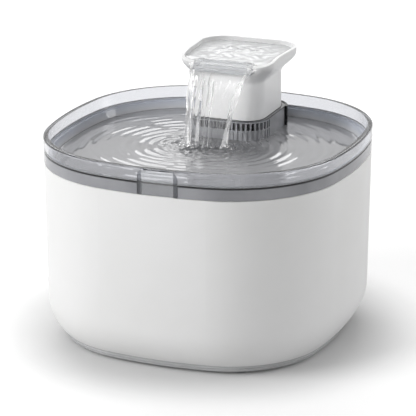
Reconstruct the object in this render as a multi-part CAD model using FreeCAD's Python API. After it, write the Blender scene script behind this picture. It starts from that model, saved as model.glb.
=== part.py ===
import FreeCAD, Part
import math
import os

# Pet water fountain: a white body holds a smoke clear tank, a clear tray sits on the tank,
# and a white tower stands in the tray and pours a sheet of water back into it.
# Frame: +Z up, the floor at Z 0, the front face looks along -Y, lengths in millimetres.

V = FreeCAD.Vector
UP = V(0, 0, 1)
BACK = V(0, 1, 0)

# Plan of the body: a rounded square made of four side arcs and four corner arcs
HALF_WIDTH = 95.0
SIDE_RADIUS = 224.0
CORNER_RADIUS = 70.0

# Clearances
BODY_GAP = 0.25
WALL_GAP = 0.4
SHAFT_CLEARANCE = 0.05
PIECE_CLEARANCE = 0.15
CUT_OVER = 1.0

# Feet and base cover
FOOT_HEIGHT = 2.0
FOOT_RADIUS = 5.0
FOOT_POCKET = 0.8
FOOT_X = 46.0
FOOT_Y = 68.0
COVER_HEIGHT = 4.2
COVER_PLATE = 2.2
COVER_TOP_INSET = 11.0
COVER_FOOT_INSET = 12.4
COVER_GROOVE = 0.5
COVER_SPIGOT = 2.0
COVER_WALL = 2.2
SCREW_SPREAD = 50.0
SCREW_SHANK_RADIUS = 1.25
SCREW_HEAD_RADIUS = 2.8
SCREW_HEAD_HEIGHT = 1.4
SCREW_SLOT = 0.6
SCREW_LENGTH = 9.0
BOSS_RADIUS = 3.6

# White outer housing
SHELL_TOP_Z = 110.9
SHELL_TOP_INSET = 0.3
SHELL_FOOT_INSET = 1.8
SHELL_ROUND = 29.6
SHELL_ROUND_START_Z = 27.0
SHELL_WALL = 2.0
SHELL_FLOOR_TOP_Z = 19.4
SHELL_FLOOR = 2.4
SHELL_LIP_ROUND = 0.6

# Base electronics
BOARD_SIZE_X = 56.0
BOARD_SIZE_Y = 34.0
BOARD_THICKNESS = 1.6
BOARD_Y = -22.0
BOARD_POST_HEIGHT = 5.0
BOARD_POST_RADIUS = 2.5
CHIP_SIZE = 9.0
CHIP_HEIGHT = 1.4
COIL_OUTER_RADIUS = 20.0
COIL_INNER_RADIUS = 9.0
COIL_HEIGHT = 2.6
SHIELD_RADIUS = 22.0
SHIELD_HEIGHT = 1.2
INLET_SLOT_WIDTH = 9.2
INLET_SLOT_HEIGHT = 3.4
INLET_SHELL = 1.0
INLET_DEPTH = 10.0
INLET_Z = 12.6
INLET_SET_IN = 6.6
INLET_TONGUE = 0.8

# Smoke clear tank
TANK_WALL = 1.8
TANK_FLOOR = 2.5
TANK_ROUND = 14.0
TANK_BAND_HEIGHT = 6.5
TANK_BAND_WALL = 1.4
TANK_BAND_SHELF = 2.2
TANK_RING_RADIUS = 30.0
TANK_RING_WALL = 2.0
TANK_RING_HEIGHT = 2.0

# Black gasket and clear tray
GASKET_HEIGHT = 1.1
GASKET_INSET = 0.4
RIM_HEIGHT = 8.0
RIM_WALL = 3.0
RIM_ROUND = 1.1
LEDGE_DROP = 1.1
LEDGE_WIDTH = 2.4
BASIN_DEPTH = 11.8
BASIN_SHOULDER_DROP = 4.2
BASIN_SHOULDER = 1.4
BASIN_DRAFT = 1.6
BASIN_ROUND = 4.0
TRAY_WALL = 2.0
TRAY_FLOOR = 2.2

# Front tab
TAB_WIDTH = 24.7
TAB_LEG = 2.4
TAB_DEPTH = 1.0
TAB_PLATE = 0.5
TAB_CORNER = 4.0
TAB_TOP_DROP = 0.9
TAB_X = 4.7

# Centre line of the riser, the pump outlet and the tower, counted from the back of the plan
RISER_FROM_BACK = 45.5

# Pump
PUMP_FOOT_RADIUS = 4.0
PUMP_FOOT_HEIGHT = 3.5
PUMP_FOOT_X = 12.0
PUMP_FOOT_FRONT = 12.5
PUMP_FOOT_REAR = 19.5
PUMP_BASE_HEIGHT = 5.0
PUMP_HALF_WIDTH = 18.0
PUMP_HEIGHT = 30.0
PUMP_WALL = 1.8
PUMP_ROUND = 4.0
MOTOR_LENGTH = 22.0
VOLUTE_RADIUS = 15.0
VOLUTE_LENGTH = 16.0
VOLUTE_WALL = 1.8
EYE_RADIUS = 6.5
SPIDER_WIDTH = 1.6
STRAINER_LENGTH = 14.5
STRAINER_WALL = 1.5
STRAINER_SLOT = 1.6
STRAINER_PITCH = 3.6
SPONGE_GAP = 1.2
WELL_RADIUS = 7.2
WELL_WALL = 1.0
SHAFT_RADIUS = 1.2
BEARING_RADIUS = 2.6
BEARING_LENGTH = 2.4
IMPELLER_RADIUS = 11.5
IMPELLER_DISC = 1.2
IMPELLER_LENGTH = 8.0
IMPELLER_HUB = 3.4
VANE_COUNT = 6
VANE_THICKNESS = 1.2
MAGNET_RADIUS = 6.4
MAGNET_LENGTH = 15.5
STATOR_LENGTH = 13.0
STATOR_CORE = 3.2
WINDING_LENGTH = 9.0
RECEIVER_OUTER_RADIUS = 15.0
RECEIVER_INNER_RADIUS = 7.0
RECEIVER_HEIGHT = 2.4

# Riser
STUB_RADIUS = 5.4
STUB_BORE = 4.0
STUB_TOP_Z = 72.0
RISER_RADIUS = 7.0
RISER_BORE = 5.5
RISER_FOOT_Z = 64.0
RISER_TOP_Z = 121.0
SEAL_WIDTH = 0.45
SEAL_HEIGHT = 2.4
SEAL_DROP = 4.0

# Filter cup and cartridge
CUP_HALF_X = 20.0
CUP_HALF_Y = 21.0
CUP_CORNER = 10.0
CUP_WALL = 1.6
CUP_FOOT_Z = 68.0
CUP_FLOOR = 1.6
CUP_FLANGE = 2.0
CUP_FLANGE_HEIGHT = 1.2
CUP_SLEEVE_GAP = 0.5
CUP_SLEEVE_WALL = 1.2
CUP_SLEEVE_TOP_Z = 104.0
CUP_SLOT_WIDTH = 2.4
CUP_SLOT_PITCH = 5.0
FILTER_GAP = 0.8
FILTER_SLEEVE_GAP = 0.7
FILTER_FOOT_LIFT = 1.5
FILTER_RING_HEIGHT = 2.0
FILTER_RING_WIDTH = 3.0
FILTER_MEDIA_INSET = 0.6

# Drain collar
COLLAR_HALF_X = 25.0
COLLAR_FRONT = 27.3
COLLAR_BACK = 29.5
COLLAR_CORNER = 14.0
COLLAR_WALL = 2.2
COLLAR_TOP_Z = 125.6
COLLAR_WINDOW_WIDTH = 1.9
COLLAR_WINDOW_PITCH = 3.0
COLLAR_WINDOW_FOOT_Z = 119.6
COLLAR_WINDOW_TOP_Z = 124.3
COLLAR_RIBBED = 17.0
COLLAR_GROOVE = 0.5
COLLAR_GROOVE_WIDTH = 1.5
COLLAR_GROOVE_EDGE = 0.7
COLLAR_NOTCH_HEIGHT = 3.0
COLLAR_WEB_Z = 110.0
COLLAR_WEB = 1.6
COLLAR_WEB_GAP = 0.8
CLIP_THICKNESS = 1.6
CLIP_FOOT_Z = 108.0
CLIP_TOP_Z = 126.0
CLIP_FRONT = 16.5
CLIP_ROUND = 0.8

# Spout tower
TOWER_HALF_X = 23.0
TOWER_FRONT = 25.5
TOWER_BACK = 25.5
TOWER_CORNER = 12.0
TOWER_WALL = 2.0
TOWER_SPIGOT = 2.0
TOWER_SPIGOT_GAP = 0.5
HEAD_TOP_Z = 164.3
HEAD_BAND = 3.3
FLARE_HEIGHT = 12.5
HEAD_BACK_HALF_X = 32.9
HEAD_FRONT_HALF_X = 30.2
HEAD_FRONT = 26.5
HEAD_BACK = 31.8
HEAD_BACK_CORNER = 17.0
HEAD_FRONT_CORNER = 9.0
HEAD_WALL = 2.0
FLARE_STEPS = 7
POOL_DEPTH = 8.7
POOL_FLOOR = 2.2
RIM_DIP_START = 7.5
RIM_DIP_RADIUS = 49.0
PIPE_RADIUS = 7.4
PIPE_BORE = 5.6
SOCKET_GAP = 0.1
SOCKET_WALL = 1.6
SOCKET_FOOT_Z = 112.6
SOCKET_TOP_Z = 126.0
DIFFUSER_RADIUS = 10.0
DIFFUSER_HEIGHT = 3.4
DIFFUSER_TOP = 1.0
DIFFUSER_POSTS = 8
LIP_HALF_X = 19.3
LIP_FOOT_HALF_X = 13.0
LIP_FRONT = 28.9
LIP_DEPTH = 6.6
LIP_THICKNESS = 1.0
LIP_RISE = 4.2
LIP_FRONT_DROP = 1.6
LIP_CREST_DROP = 2.8

# Places and heights worked out from the sizes above
RISER_Y = HALF_WIDTH - RISER_FROM_BACK
INLET_MOUTH_Y = HALF_WIDTH - INLET_SET_IN
PUMP_FOOT_FRONT_Y = RISER_Y - PUMP_FOOT_FRONT
PUMP_FOOT_REAR_Y = RISER_Y + PUMP_FOOT_REAR
COLLAR_FRONT_Y = RISER_Y - COLLAR_FRONT
COLLAR_BACK_Y = RISER_Y + COLLAR_BACK
CLIP_FRONT_Y = RISER_Y + CLIP_FRONT
TOWER_FRONT_Y = RISER_Y - TOWER_FRONT
TOWER_BACK_Y = RISER_Y + TOWER_BACK
HEAD_FRONT_Y = RISER_Y - HEAD_FRONT
HEAD_BACK_Y = RISER_Y + HEAD_BACK
RIM_DIP_START_Y = RISER_Y - RIM_DIP_START
LIP_FRONT_Y = RISER_Y - LIP_FRONT
FLARE_TOP_Z = HEAD_TOP_Z - HEAD_BAND
FLARE_FOOT_Z = FLARE_TOP_Z - FLARE_HEIGHT
POOL_FLOOR_Z = HEAD_TOP_Z - POOL_DEPTH
COVER_TOP_Z = FOOT_HEIGHT + COVER_HEIGHT
SHELL_FORM_FLOOR_Z = SHELL_ROUND_START_Z - SHELL_ROUND
SHELL_FLOOR_FOOT_Z = SHELL_FLOOR_TOP_Z - SHELL_FLOOR
TANK_FOOT_Z = SHELL_FLOOR_TOP_Z + BODY_GAP
TANK_FLOOR_TOP_Z = TANK_FOOT_Z + TANK_FLOOR
BAND_FOOT_Z = SHELL_TOP_Z + BODY_GAP
BAND_TOP_Z = BAND_FOOT_Z + TANK_BAND_HEIGHT
BAND_INNER_INSET = SHELL_TOP_INSET + TANK_BAND_WALL
GASKET_FOOT_Z = BAND_TOP_Z + BODY_GAP
RIM_FOOT_Z = GASKET_FOOT_Z + GASKET_HEIGHT
RIM_TOP_Z = RIM_FOOT_Z + RIM_HEIGHT
NECK_INSET = BAND_INNER_INSET + BODY_GAP
LEDGE_Z = RIM_FOOT_Z - LEDGE_DROP
LEDGE_INSET = RIM_WALL + LEDGE_WIDTH
TANK_INNER_INSET = SHELL_TOP_INSET + SHELL_WALL + WALL_GAP + TANK_WALL
BASIN_FLOOR_Z = LEDGE_Z - BASIN_DEPTH
TRAY_FOOT_Z = BASIN_FLOOR_Z - TRAY_FLOOR
PUMP_BASE_Z = TANK_FLOOR_TOP_Z + PUMP_FOOT_HEIGHT
PUMP_FOOT_Z = PUMP_BASE_Z + PUMP_BASE_HEIGHT
PUMP_TOP_Z = PUMP_FOOT_Z + PUMP_HEIGHT
PUMP_AXIS_Z = PUMP_FOOT_Z + PUMP_HEIGHT / 2
VOLUTE_FRONT_Y = RISER_Y - VOLUTE_LENGTH / 2
VOLUTE_REAR_Y = RISER_Y + VOLUTE_LENGTH / 2
MOTOR_REAR_Y = VOLUTE_REAR_Y + MOTOR_LENGTH
STRAINER_FRONT_Y = VOLUTE_FRONT_Y - STRAINER_LENGTH
WELL_REAR_Y = MOTOR_REAR_Y - PUMP_WALL
IMPELLER_FRONT_Y = VOLUTE_FRONT_Y + VOLUTE_WALL + BEARING_LENGTH
IMPELLER_REAR_Y = IMPELLER_FRONT_Y + IMPELLER_LENGTH
MAGNET_REAR_Y = WELL_REAR_Y - BEARING_LENGTH - BODY_GAP
MAGNET_FRONT_Y = MAGNET_REAR_Y - MAGNET_LENGTH
CUP_SLEEVE_BORE = RISER_RADIUS + CUP_SLEEVE_GAP
CUP_SLEEVE_RADIUS = CUP_SLEEVE_BORE + CUP_SLEEVE_WALL
FILTER_FOOT_Z = CUP_FOOT_Z + CUP_FLOOR + FILTER_FOOT_LIFT
COLLAR_FOOT_Z = BASIN_FLOOR_Z + BODY_GAP
TOWER_FOOT_Z = COLLAR_TOP_Z + BODY_GAP
SOCKET_BORE = RISER_RADIUS + SEAL_WIDTH + SOCKET_GAP
SOCKET_RADIUS = SOCKET_BORE + SOCKET_WALL


def save(node, shape):
    """Write one named piece."""
    shape.exportStep(os.path.join("parts", node + ".step"))


def plan_arcs(inset):
    """Centre, radius and angles of the eight arcs of the plan, moved in by the inset."""
    side_centre = HALF_WIDTH - SIDE_RADIUS
    difference = (SIDE_RADIUS - CORNER_RADIUS) ** 2
    root = math.sqrt(4 * side_centre ** 2 - 8 * (side_centre ** 2 - difference))
    corner = (2 * side_centre + root) / 4
    lean = math.atan2(corner, corner - side_centre)
    upright = math.pi / 2
    arcs = []
    for quarter in range(4):
        turn = FreeCAD.Rotation(UP, 90 * quarter)
        start = quarter * upright
        side = turn.multVec(V(0, side_centre, 0))
        arcs.append((side, SIDE_RADIUS - inset, start + upright - lean, start + upright + lean))
        pole = turn.multVec(V(-corner, corner, 0))
        arcs.append((pole, CORNER_RADIUS - inset, start + upright + lean, start + math.pi - lean))
    return arcs


def plan_wire(inset, z):
    """Closed outline of the plan at a height."""
    edges = []
    for centre, radius, start, end in plan_arcs(inset):
        points = []
        for angle in (start, (start + end) / 2, end):
            points.append(V(centre.x + radius * math.cos(angle), centre.y + radius * math.sin(angle), z))
        edges.append(Part.Arc(*points).toShape())
    return Part.Wire(edges)


def plan_block(foot_inset, foot_z, top_inset, top_z):
    """Solid with the body's plan, whose sides may lean."""
    return Part.makeLoft([plan_wire(foot_inset, foot_z), plan_wire(top_inset, top_z)], True, True)


def edges_at(shape, z):
    """Edges that lie at one height."""
    found = []
    for edge in shape.Edges:
        box = edge.BoundBox
        if abs(box.ZMin - z) < 0.01 and abs(box.ZMax - z) < 0.01:
            found.append(edge)
    return found


def round_at(shape, z, radius):
    """Round all edges that lie at one height."""
    return shape.makeFillet(radius, edges_at(shape, z))


def box(x0, x1, y0, y1, z0, z1):
    """Block between two corners."""
    return Part.makeBox(x1 - x0, y1 - y0, z1 - z0, V(x0, y0, z0))


def post(radius, z0, z1, x=0.0, y=0.0):
    """Upright cylinder."""
    return Part.makeCylinder(radius, z1 - z0, V(x, y, z0), UP)


def tube(radius, bore, z0, z1, x=0.0, y=0.0):
    """Upright tube."""
    return post(radius, z0, z1, x, y).cut(post(bore, z0 - CUT_OVER, z1 + CUT_OVER, x, y))


def axle(radius, y0, y1):
    """Cylinder along the pump's axis."""
    return Part.makeCylinder(radius, y1 - y0, V(0, y0, PUMP_AXIS_Z), BACK)


def rounded_wire(half_x, y0, y1, corner, z):
    """Outline of a rounded rectangle at a height."""
    return corner_wire(half_x, half_x, y0, y1, corner, corner, z)


def corner_wire(front_half_x, back_half_x, y0, y1, front_corner, back_corner, z):
    """Outline with four straight sides and four round corners, which may narrow to the front."""
    points = [V(back_half_x, y1, z), V(-back_half_x, y1, z)]
    points += [V(-front_half_x, y0, z), V(front_half_x, y0, z)]
    radii = [back_corner, back_corner, front_corner, front_corner]
    rounds = []
    for index in range(4):
        here = points[index]
        before = (points[index - 1] - here).normalize()
        after = (points[(index + 1) % 4] - here).normalize()
        half_turn = before.getAngle(after) / 2
        reach = radii[index] / math.tan(half_turn)
        middle = (before + after).normalize()
        centre = here + middle * (radii[index] / math.sin(half_turn))
        rounds.append((here + before * reach, centre - middle * radii[index], here + after * reach))
    edges = []
    for index in range(4):
        edges.append(Part.Arc(*rounds[index]).toShape())
        edges.append(Part.makeLine(rounds[index][2], rounds[(index + 1) % 4][0]))
    return Part.Wire(edges)


def rounded_block(half_x, y0, y1, corner, z0, z1):
    """Upright block with a rounded rectangular outline."""
    return Part.Face(rounded_wire(half_x, y0, y1, corner, z0)).extrude(V(0, 0, z1 - z0))


def centred_block(half_x, half_y, corner, z0, z1):
    """Rounded block on the riser's centre line."""
    return rounded_block(half_x, RISER_Y - half_y, RISER_Y + half_y, corner, z0, z1)


def shell_inset(z):
    """How far the white wall stands inside the widest plan at a height."""
    share = (SHELL_TOP_Z - z) / (SHELL_TOP_Z - SHELL_FORM_FLOOR_Z)
    return SHELL_TOP_INSET + (SHELL_FOOT_INSET - SHELL_TOP_INSET) * share


def shell_form(inset):
    """Tapered form of the white body with its rounded underside, moved in by the inset."""
    foot_z = SHELL_FORM_FLOOR_Z + inset
    form = plan_block(shell_inset(foot_z) + inset, foot_z, SHELL_TOP_INSET + inset, SHELL_TOP_Z)
    return round_at(form, foot_z, SHELL_ROUND - inset)


def layer(z0, z1):
    """Slab wider than the body, used to keep one layer of a form."""
    reach = HALF_WIDTH + CUT_OVER
    return box(-reach, reach, -reach, reach, z0, z1)


def four_corners(x, y):
    """Points of a pattern that repeats in each quarter."""
    return [(x, y), (-x, y), (-x, -y), (x, -y)]


def inlet_block(width, height, y0, y1):
    """Flat bar with round ends that lies along Y at the power inlet."""
    radius = height / 2
    side = width / 2 - radius
    bar = box(-side, side, y0, y1, INLET_Z - radius, INLET_Z + radius)
    for x in (-side, side):
        bar = bar.fuse(Part.makeCylinder(radius, y1 - y0, V(x, y0, INLET_Z), BACK))
    return bar.removeSplitter()


def outer_housing():
    """White tub with a raised floor over the electronics."""
    body = shell_form(0).common(layer(COVER_TOP_Z, SHELL_TOP_Z))
    inner = shell_form(SHELL_WALL)
    well = inner.common(layer(SHELL_FLOOR_TOP_Z, SHELL_TOP_Z))
    bay = inner.common(layer(COVER_TOP_Z, SHELL_FLOOR_FOOT_Z))
    mouth = plan_block(SHELL_TOP_INSET + SHELL_WALL, SHELL_TOP_Z - CUT_OVER,
                       SHELL_TOP_INSET + SHELL_WALL, SHELL_TOP_Z + CUT_OVER)
    foot_inset = shell_foot_inset() + SHELL_WALL
    hatch = plan_block(foot_inset, COVER_TOP_Z - CUT_OVER, foot_inset, COVER_TOP_Z + CUT_OVER)
    body = body.cut(well).cut(bay).cut(mouth).cut(hatch)
    body = round_at(body, SHELL_TOP_Z, SHELL_LIP_ROUND)
    for x, y in four_corners(SCREW_SPREAD, SCREW_SPREAD):
        body = body.fuse(tube(BOSS_RADIUS, SCREW_SHANK_RADIUS, COVER_TOP_Z + BODY_GAP, SHELL_FLOOR_FOOT_Z, x, y))
    for x, y in board_posts():
        body = body.fuse(post(BOARD_POST_RADIUS, board_top_z(), SHELL_FLOOR_FOOT_Z, x, y))
    body = body.removeSplitter()
    slot = inlet_block(INLET_SLOT_WIDTH + 2 * INLET_SHELL + 2 * PIECE_CLEARANCE,
                       INLET_SLOT_HEIGHT + 2 * INLET_SHELL + 2 * PIECE_CLEARANCE,
                       INLET_MOUTH_Y - INLET_DEPTH, HALF_WIDTH)
    return body.cut(slot)


def shell_foot_inset():
    """How far the rounded underside has drawn in where the white wall ends."""
    depth = SHELL_ROUND_START_Z - COVER_TOP_Z
    return shell_inset(COVER_TOP_Z) + SHELL_ROUND - math.sqrt(SHELL_ROUND ** 2 - depth ** 2)


def base_cover():
    """Grey plate that closes the underside, with a groove round its edge."""
    split_z = FOOT_HEIGHT + COVER_HEIGHT / 2
    lower = plan_block(COVER_FOOT_INSET, FOOT_HEIGHT, COVER_TOP_INSET, split_z)
    upper = plan_block(COVER_TOP_INSET + COVER_GROOVE, split_z, COVER_TOP_INSET, COVER_TOP_Z)
    spigot_inset = shell_foot_inset() + SHELL_WALL + PIECE_CLEARANCE
    spigot = plan_block(spigot_inset, COVER_TOP_Z, spigot_inset, COVER_TOP_Z + COVER_SPIGOT)
    cover = lower.fuse([upper, spigot])
    hollow_inset = spigot_inset + COVER_WALL
    hollow = plan_block(hollow_inset, FOOT_HEIGHT + COVER_PLATE, hollow_inset,
                        COVER_TOP_Z + COVER_SPIGOT + CUT_OVER)
    cover = cover.cut(hollow)
    for x, y in four_corners(FOOT_X, FOOT_Y):
        cover = cover.cut(post(FOOT_RADIUS, 0, FOOT_HEIGHT + FOOT_POCKET, x, y))
    for x, y in four_corners(SCREW_SPREAD, SCREW_SPREAD):
        seat = tube(BOSS_RADIUS, SCREW_SHANK_RADIUS, FOOT_HEIGHT + COVER_PLATE, COVER_TOP_Z + BODY_GAP, x, y)
        head = post(SCREW_HEAD_RADIUS + PIECE_CLEARANCE, 0, FOOT_HEIGHT + SCREW_HEAD_HEIGHT, x, y)
        hole = post(SCREW_SHANK_RADIUS + PIECE_CLEARANCE, 0, COVER_TOP_Z, x, y)
        cover = cover.fuse(seat).cut(head).cut(hole)
    return cover.removeSplitter()


def base_feet():
    """Four soft feet set in pockets of the cover."""
    feet = []
    for x, y in four_corners(FOOT_X, FOOT_Y):
        foot = post(FOOT_RADIUS, 0, FOOT_HEIGHT + FOOT_POCKET, x, y)
        feet.append(foot.makeFillet(FOOT_HEIGHT / 3, edges_at(foot, 0)))
    return Part.makeCompound(feet)


def base_screws():
    """Four screws that hold the cover to the bosses of the housing."""
    screws = []
    for x, y in four_corners(SCREW_SPREAD, SCREW_SPREAD):
        head_top = FOOT_HEIGHT + SCREW_HEAD_HEIGHT
        screw = post(SCREW_HEAD_RADIUS, FOOT_HEIGHT, head_top, x, y)
        screw = screw.fuse(post(SCREW_SHANK_RADIUS, head_top, head_top + SCREW_LENGTH, x, y))
        for angle in (0, 90):
            slot = box(-SCREW_HEAD_RADIUS / 2, SCREW_HEAD_RADIUS / 2, -SCREW_SLOT / 2, SCREW_SLOT / 2,
                   0, FOOT_HEIGHT + SCREW_HEAD_HEIGHT / 2)
            slot.rotate(V(0, 0, 0), UP, angle)
            slot.translate(V(x, y, 0))
            screw = screw.cut(slot)
        screws.append(screw)
    return Part.makeCompound(screws)


def board_top_z():
    """Upper face of the circuit board, which hangs from posts."""
    return SHELL_FLOOR_FOOT_Z - BOARD_POST_HEIGHT


def board_posts():
    """Posts at the corners of the circuit board."""
    reach = 2 * BOARD_POST_RADIUS
    points = []
    for x, y in four_corners(BOARD_SIZE_X / 2 - reach, BOARD_SIZE_Y / 2 - reach):
        points.append((x, y + BOARD_Y))
    return points


def control_board():
    """Circuit board with its chip and connectors."""
    top = board_top_z()
    foot = top - BOARD_THICKNESS
    board = box(-BOARD_SIZE_X / 2, BOARD_SIZE_X / 2, BOARD_Y - BOARD_SIZE_Y / 2,
                BOARD_Y + BOARD_SIZE_Y / 2, foot, top)
    for x in (-BOARD_SIZE_X / 4, 0, BOARD_SIZE_X / 4):
        chip = box(x - CHIP_SIZE / 2, x + CHIP_SIZE / 2, BOARD_Y - CHIP_SIZE / 2,
                   BOARD_Y + CHIP_SIZE / 2, top, top + CHIP_HEIGHT)
        board = board.fuse(chip)
    return board.removeSplitter()


def transmitter_coil():
    """Flat coil under the floor of the housing that feeds the pump through the tank."""
    return tube(COIL_OUTER_RADIUS, COIL_INNER_RADIUS, SHELL_FLOOR_FOOT_Z - COIL_HEIGHT,
                SHELL_FLOOR_FOOT_Z, 0, RISER_Y)


def coil_shield():
    """Ferrite disc under the coil."""
    top = SHELL_FLOOR_FOOT_Z - COIL_HEIGHT
    return post(SHIELD_RADIUS, top - SHIELD_HEIGHT, top, 0, RISER_Y)


def power_inlet():
    """Socket at the back with a flat mouth and a tongue."""
    rear = INLET_MOUTH_Y - INLET_DEPTH
    body = inlet_block(INLET_SLOT_WIDTH + 2 * INLET_SHELL, INLET_SLOT_HEIGHT + 2 * INLET_SHELL,
                       rear, INLET_MOUTH_Y)
    mouth = inlet_block(INLET_SLOT_WIDTH, INLET_SLOT_HEIGHT, rear + INLET_SHELL, INLET_MOUTH_Y + CUT_OVER)
    tongue_half = INLET_SLOT_WIDTH / 2 - INLET_SLOT_HEIGHT / 2
    tongue = box(-tongue_half, tongue_half, rear + INLET_SHELL, INLET_MOUTH_Y - INLET_SHELL,
                 INLET_Z - INLET_TONGUE / 2, INLET_Z + INLET_TONGUE / 2)
    return body.cut(mouth).fuse(tongue).removeSplitter()


def tab_outline(grow, top_z):
    """Block through the front of the rim with the outline of the tab."""
    half = TAB_WIDTH / 2 + grow
    radius = TAB_CORNER + grow
    foot = BAND_FOOT_Z - CUT_OVER
    front = -HALF_WIDTH - CUT_OVER
    back = -HALF_WIDTH + 3 * TAB_DEPTH
    wall = box(TAB_X - half, TAB_X + half, front, back, foot, top_z - radius)
    cap = box(TAB_X - half + radius, TAB_X + half - radius, front, back, foot, top_z)
    wall = wall.fuse(cap)
    for x in (TAB_X - half + radius, TAB_X + half - radius):
        wall = wall.fuse(Part.makeCylinder(radius, back - front, V(x, front, top_z - radius), BACK))
    return wall.removeSplitter()


def tab_pocket(depth, foot_z, top_z):
    """Front skin of the rim as deep as the tab."""
    outer = plan_block(-CUT_OVER, foot_z, -CUT_OVER, top_z)
    inner = plan_block(depth, foot_z - CUT_OVER, depth, top_z + CUT_OVER)
    return outer.cut(inner)


def front_tab():
    """Clear inverted U frame with a thin window plate, let into the front of the rim."""
    top = RIM_TOP_Z - TAB_TOP_DROP
    skin = plan_block(0, BAND_FOOT_Z, 0, RIM_TOP_Z)
    skin = skin.cut(plan_block(TAB_DEPTH, BAND_FOOT_Z - CUT_OVER, TAB_DEPTH, RIM_TOP_Z + CUT_OVER))
    frame = skin.common(tab_outline(0, top))
    window = tab_outline(-TAB_LEG, top - TAB_LEG)
    front = plan_block(-CUT_OVER, BAND_FOOT_Z - CUT_OVER, -CUT_OVER, RIM_TOP_Z)
    front = front.cut(plan_block(TAB_DEPTH - TAB_PLATE, BAND_FOOT_Z - 2 * CUT_OVER,
                                 TAB_DEPTH - TAB_PLATE, RIM_TOP_Z + CUT_OVER))
    return frame.cut(window.common(front))


def water_tank():
    """Smoke clear tank with a wide band at its top that rests on the housing."""
    gap = SHELL_WALL + WALL_GAP
    outer = plan_block(shell_inset(TANK_FOOT_Z) + gap, TANK_FOOT_Z, SHELL_TOP_INSET + gap, BAND_FOOT_Z)
    outer = round_at(outer, TANK_FOOT_Z, TANK_ROUND)
    band = plan_block(SHELL_TOP_INSET, BAND_FOOT_Z, SHELL_TOP_INSET, BAND_TOP_Z)
    wall = gap + TANK_WALL
    shelf_z = BAND_FOOT_Z + TANK_BAND_SHELF
    inner = plan_block(shell_inset(TANK_FLOOR_TOP_Z) + wall, TANK_FLOOR_TOP_Z, SHELL_TOP_INSET + wall, shelf_z)
    inner = round_at(inner, TANK_FLOOR_TOP_Z, TANK_ROUND - TANK_WALL)
    mouth = plan_block(BAND_INNER_INSET, shelf_z, BAND_INNER_INSET, BAND_TOP_Z + CUT_OVER)
    ring = tube(TANK_RING_RADIUS, TANK_RING_RADIUS - TANK_RING_WALL, TANK_FLOOR_TOP_Z,
                TANK_FLOOR_TOP_Z + TANK_RING_HEIGHT, 0, ring_centre_y())
    tank = outer.fuse(band).cut(inner).cut(mouth).fuse(ring).removeSplitter()
    notch = tab_pocket(TAB_DEPTH + BODY_GAP, BAND_FOOT_Z, BAND_TOP_Z)
    notch = notch.common(tab_outline(BODY_GAP, RIM_TOP_Z))
    return tank.cut(notch)


def ring_centre_y():
    """The locating ring on the tank floor is centred on the pump's feet."""
    return (PUMP_FOOT_FRONT_Y + PUMP_FOOT_REAR_Y) / 2


def tray_gasket():
    """Flat black ring between the tank and the tray."""
    ring = plan_block(GASKET_INSET, GASKET_FOOT_Z, GASKET_INSET, RIM_FOOT_Z)
    ring = ring.cut(plan_block(NECK_INSET, GASKET_FOOT_Z - CUT_OVER, NECK_INSET, RIM_FOOT_Z + CUT_OVER))
    notch = tab_pocket(TAB_DEPTH, GASKET_FOOT_Z, RIM_FOOT_Z).common(tab_outline(PIECE_CLEARANCE, RIM_TOP_Z))
    return ring.cut(notch)


def drinking_tray():
    """Clear tray: raised rim, ledge and shallow basin with an opening for the filter cup."""
    rim = plan_block(0, RIM_FOOT_Z, 0, RIM_TOP_Z)
    rim = round_at(rim, RIM_TOP_Z, RIM_ROUND)
    neck_foot_z = BAND_FOOT_Z + TANK_BAND_SHELF + BODY_GAP
    neck = plan_block(NECK_INSET, neck_foot_z, NECK_INSET, RIM_FOOT_Z)
    bowl_inset = TANK_INNER_INSET + BODY_GAP
    bowl = plan_block(bowl_inset + BASIN_DRAFT, TRAY_FOOT_Z, bowl_inset, neck_foot_z)
    bowl = round_at(bowl, TRAY_FOOT_Z, BASIN_ROUND)
    shoulder_z = LEDGE_Z - BASIN_SHOULDER_DROP
    shoulder_inset = max(LEDGE_INSET + BASIN_SHOULDER, bowl_inset + TRAY_WALL)
    shoulder = plan_block(shoulder_inset, shoulder_z, LEDGE_INSET, LEDGE_Z)
    basin = plan_block(shoulder_inset + BASIN_DRAFT, BASIN_FLOOR_Z, shoulder_inset, shoulder_z)
    basin = round_at(basin, BASIN_FLOOR_Z, BASIN_ROUND)
    mouth = plan_block(RIM_WALL, LEDGE_Z, RIM_WALL, RIM_TOP_Z + CUT_OVER)
    tray = rim.fuse([neck, bowl]).cut([shoulder, basin, mouth]).removeSplitter()
    drain = centred_block(CUP_HALF_X + PIECE_CLEARANCE, CUP_HALF_Y + PIECE_CLEARANCE,
                          CUP_CORNER + PIECE_CLEARANCE, TRAY_FOOT_Z - CUT_OVER, BASIN_FLOOR_Z + CUT_OVER)
    notch = tab_pocket(TAB_DEPTH, BAND_FOOT_Z, RIM_TOP_Z - TAB_TOP_DROP)
    notch = notch.common(tab_outline(0, RIM_TOP_Z - TAB_TOP_DROP))
    return tray.cut(drain).cut(notch)


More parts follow.
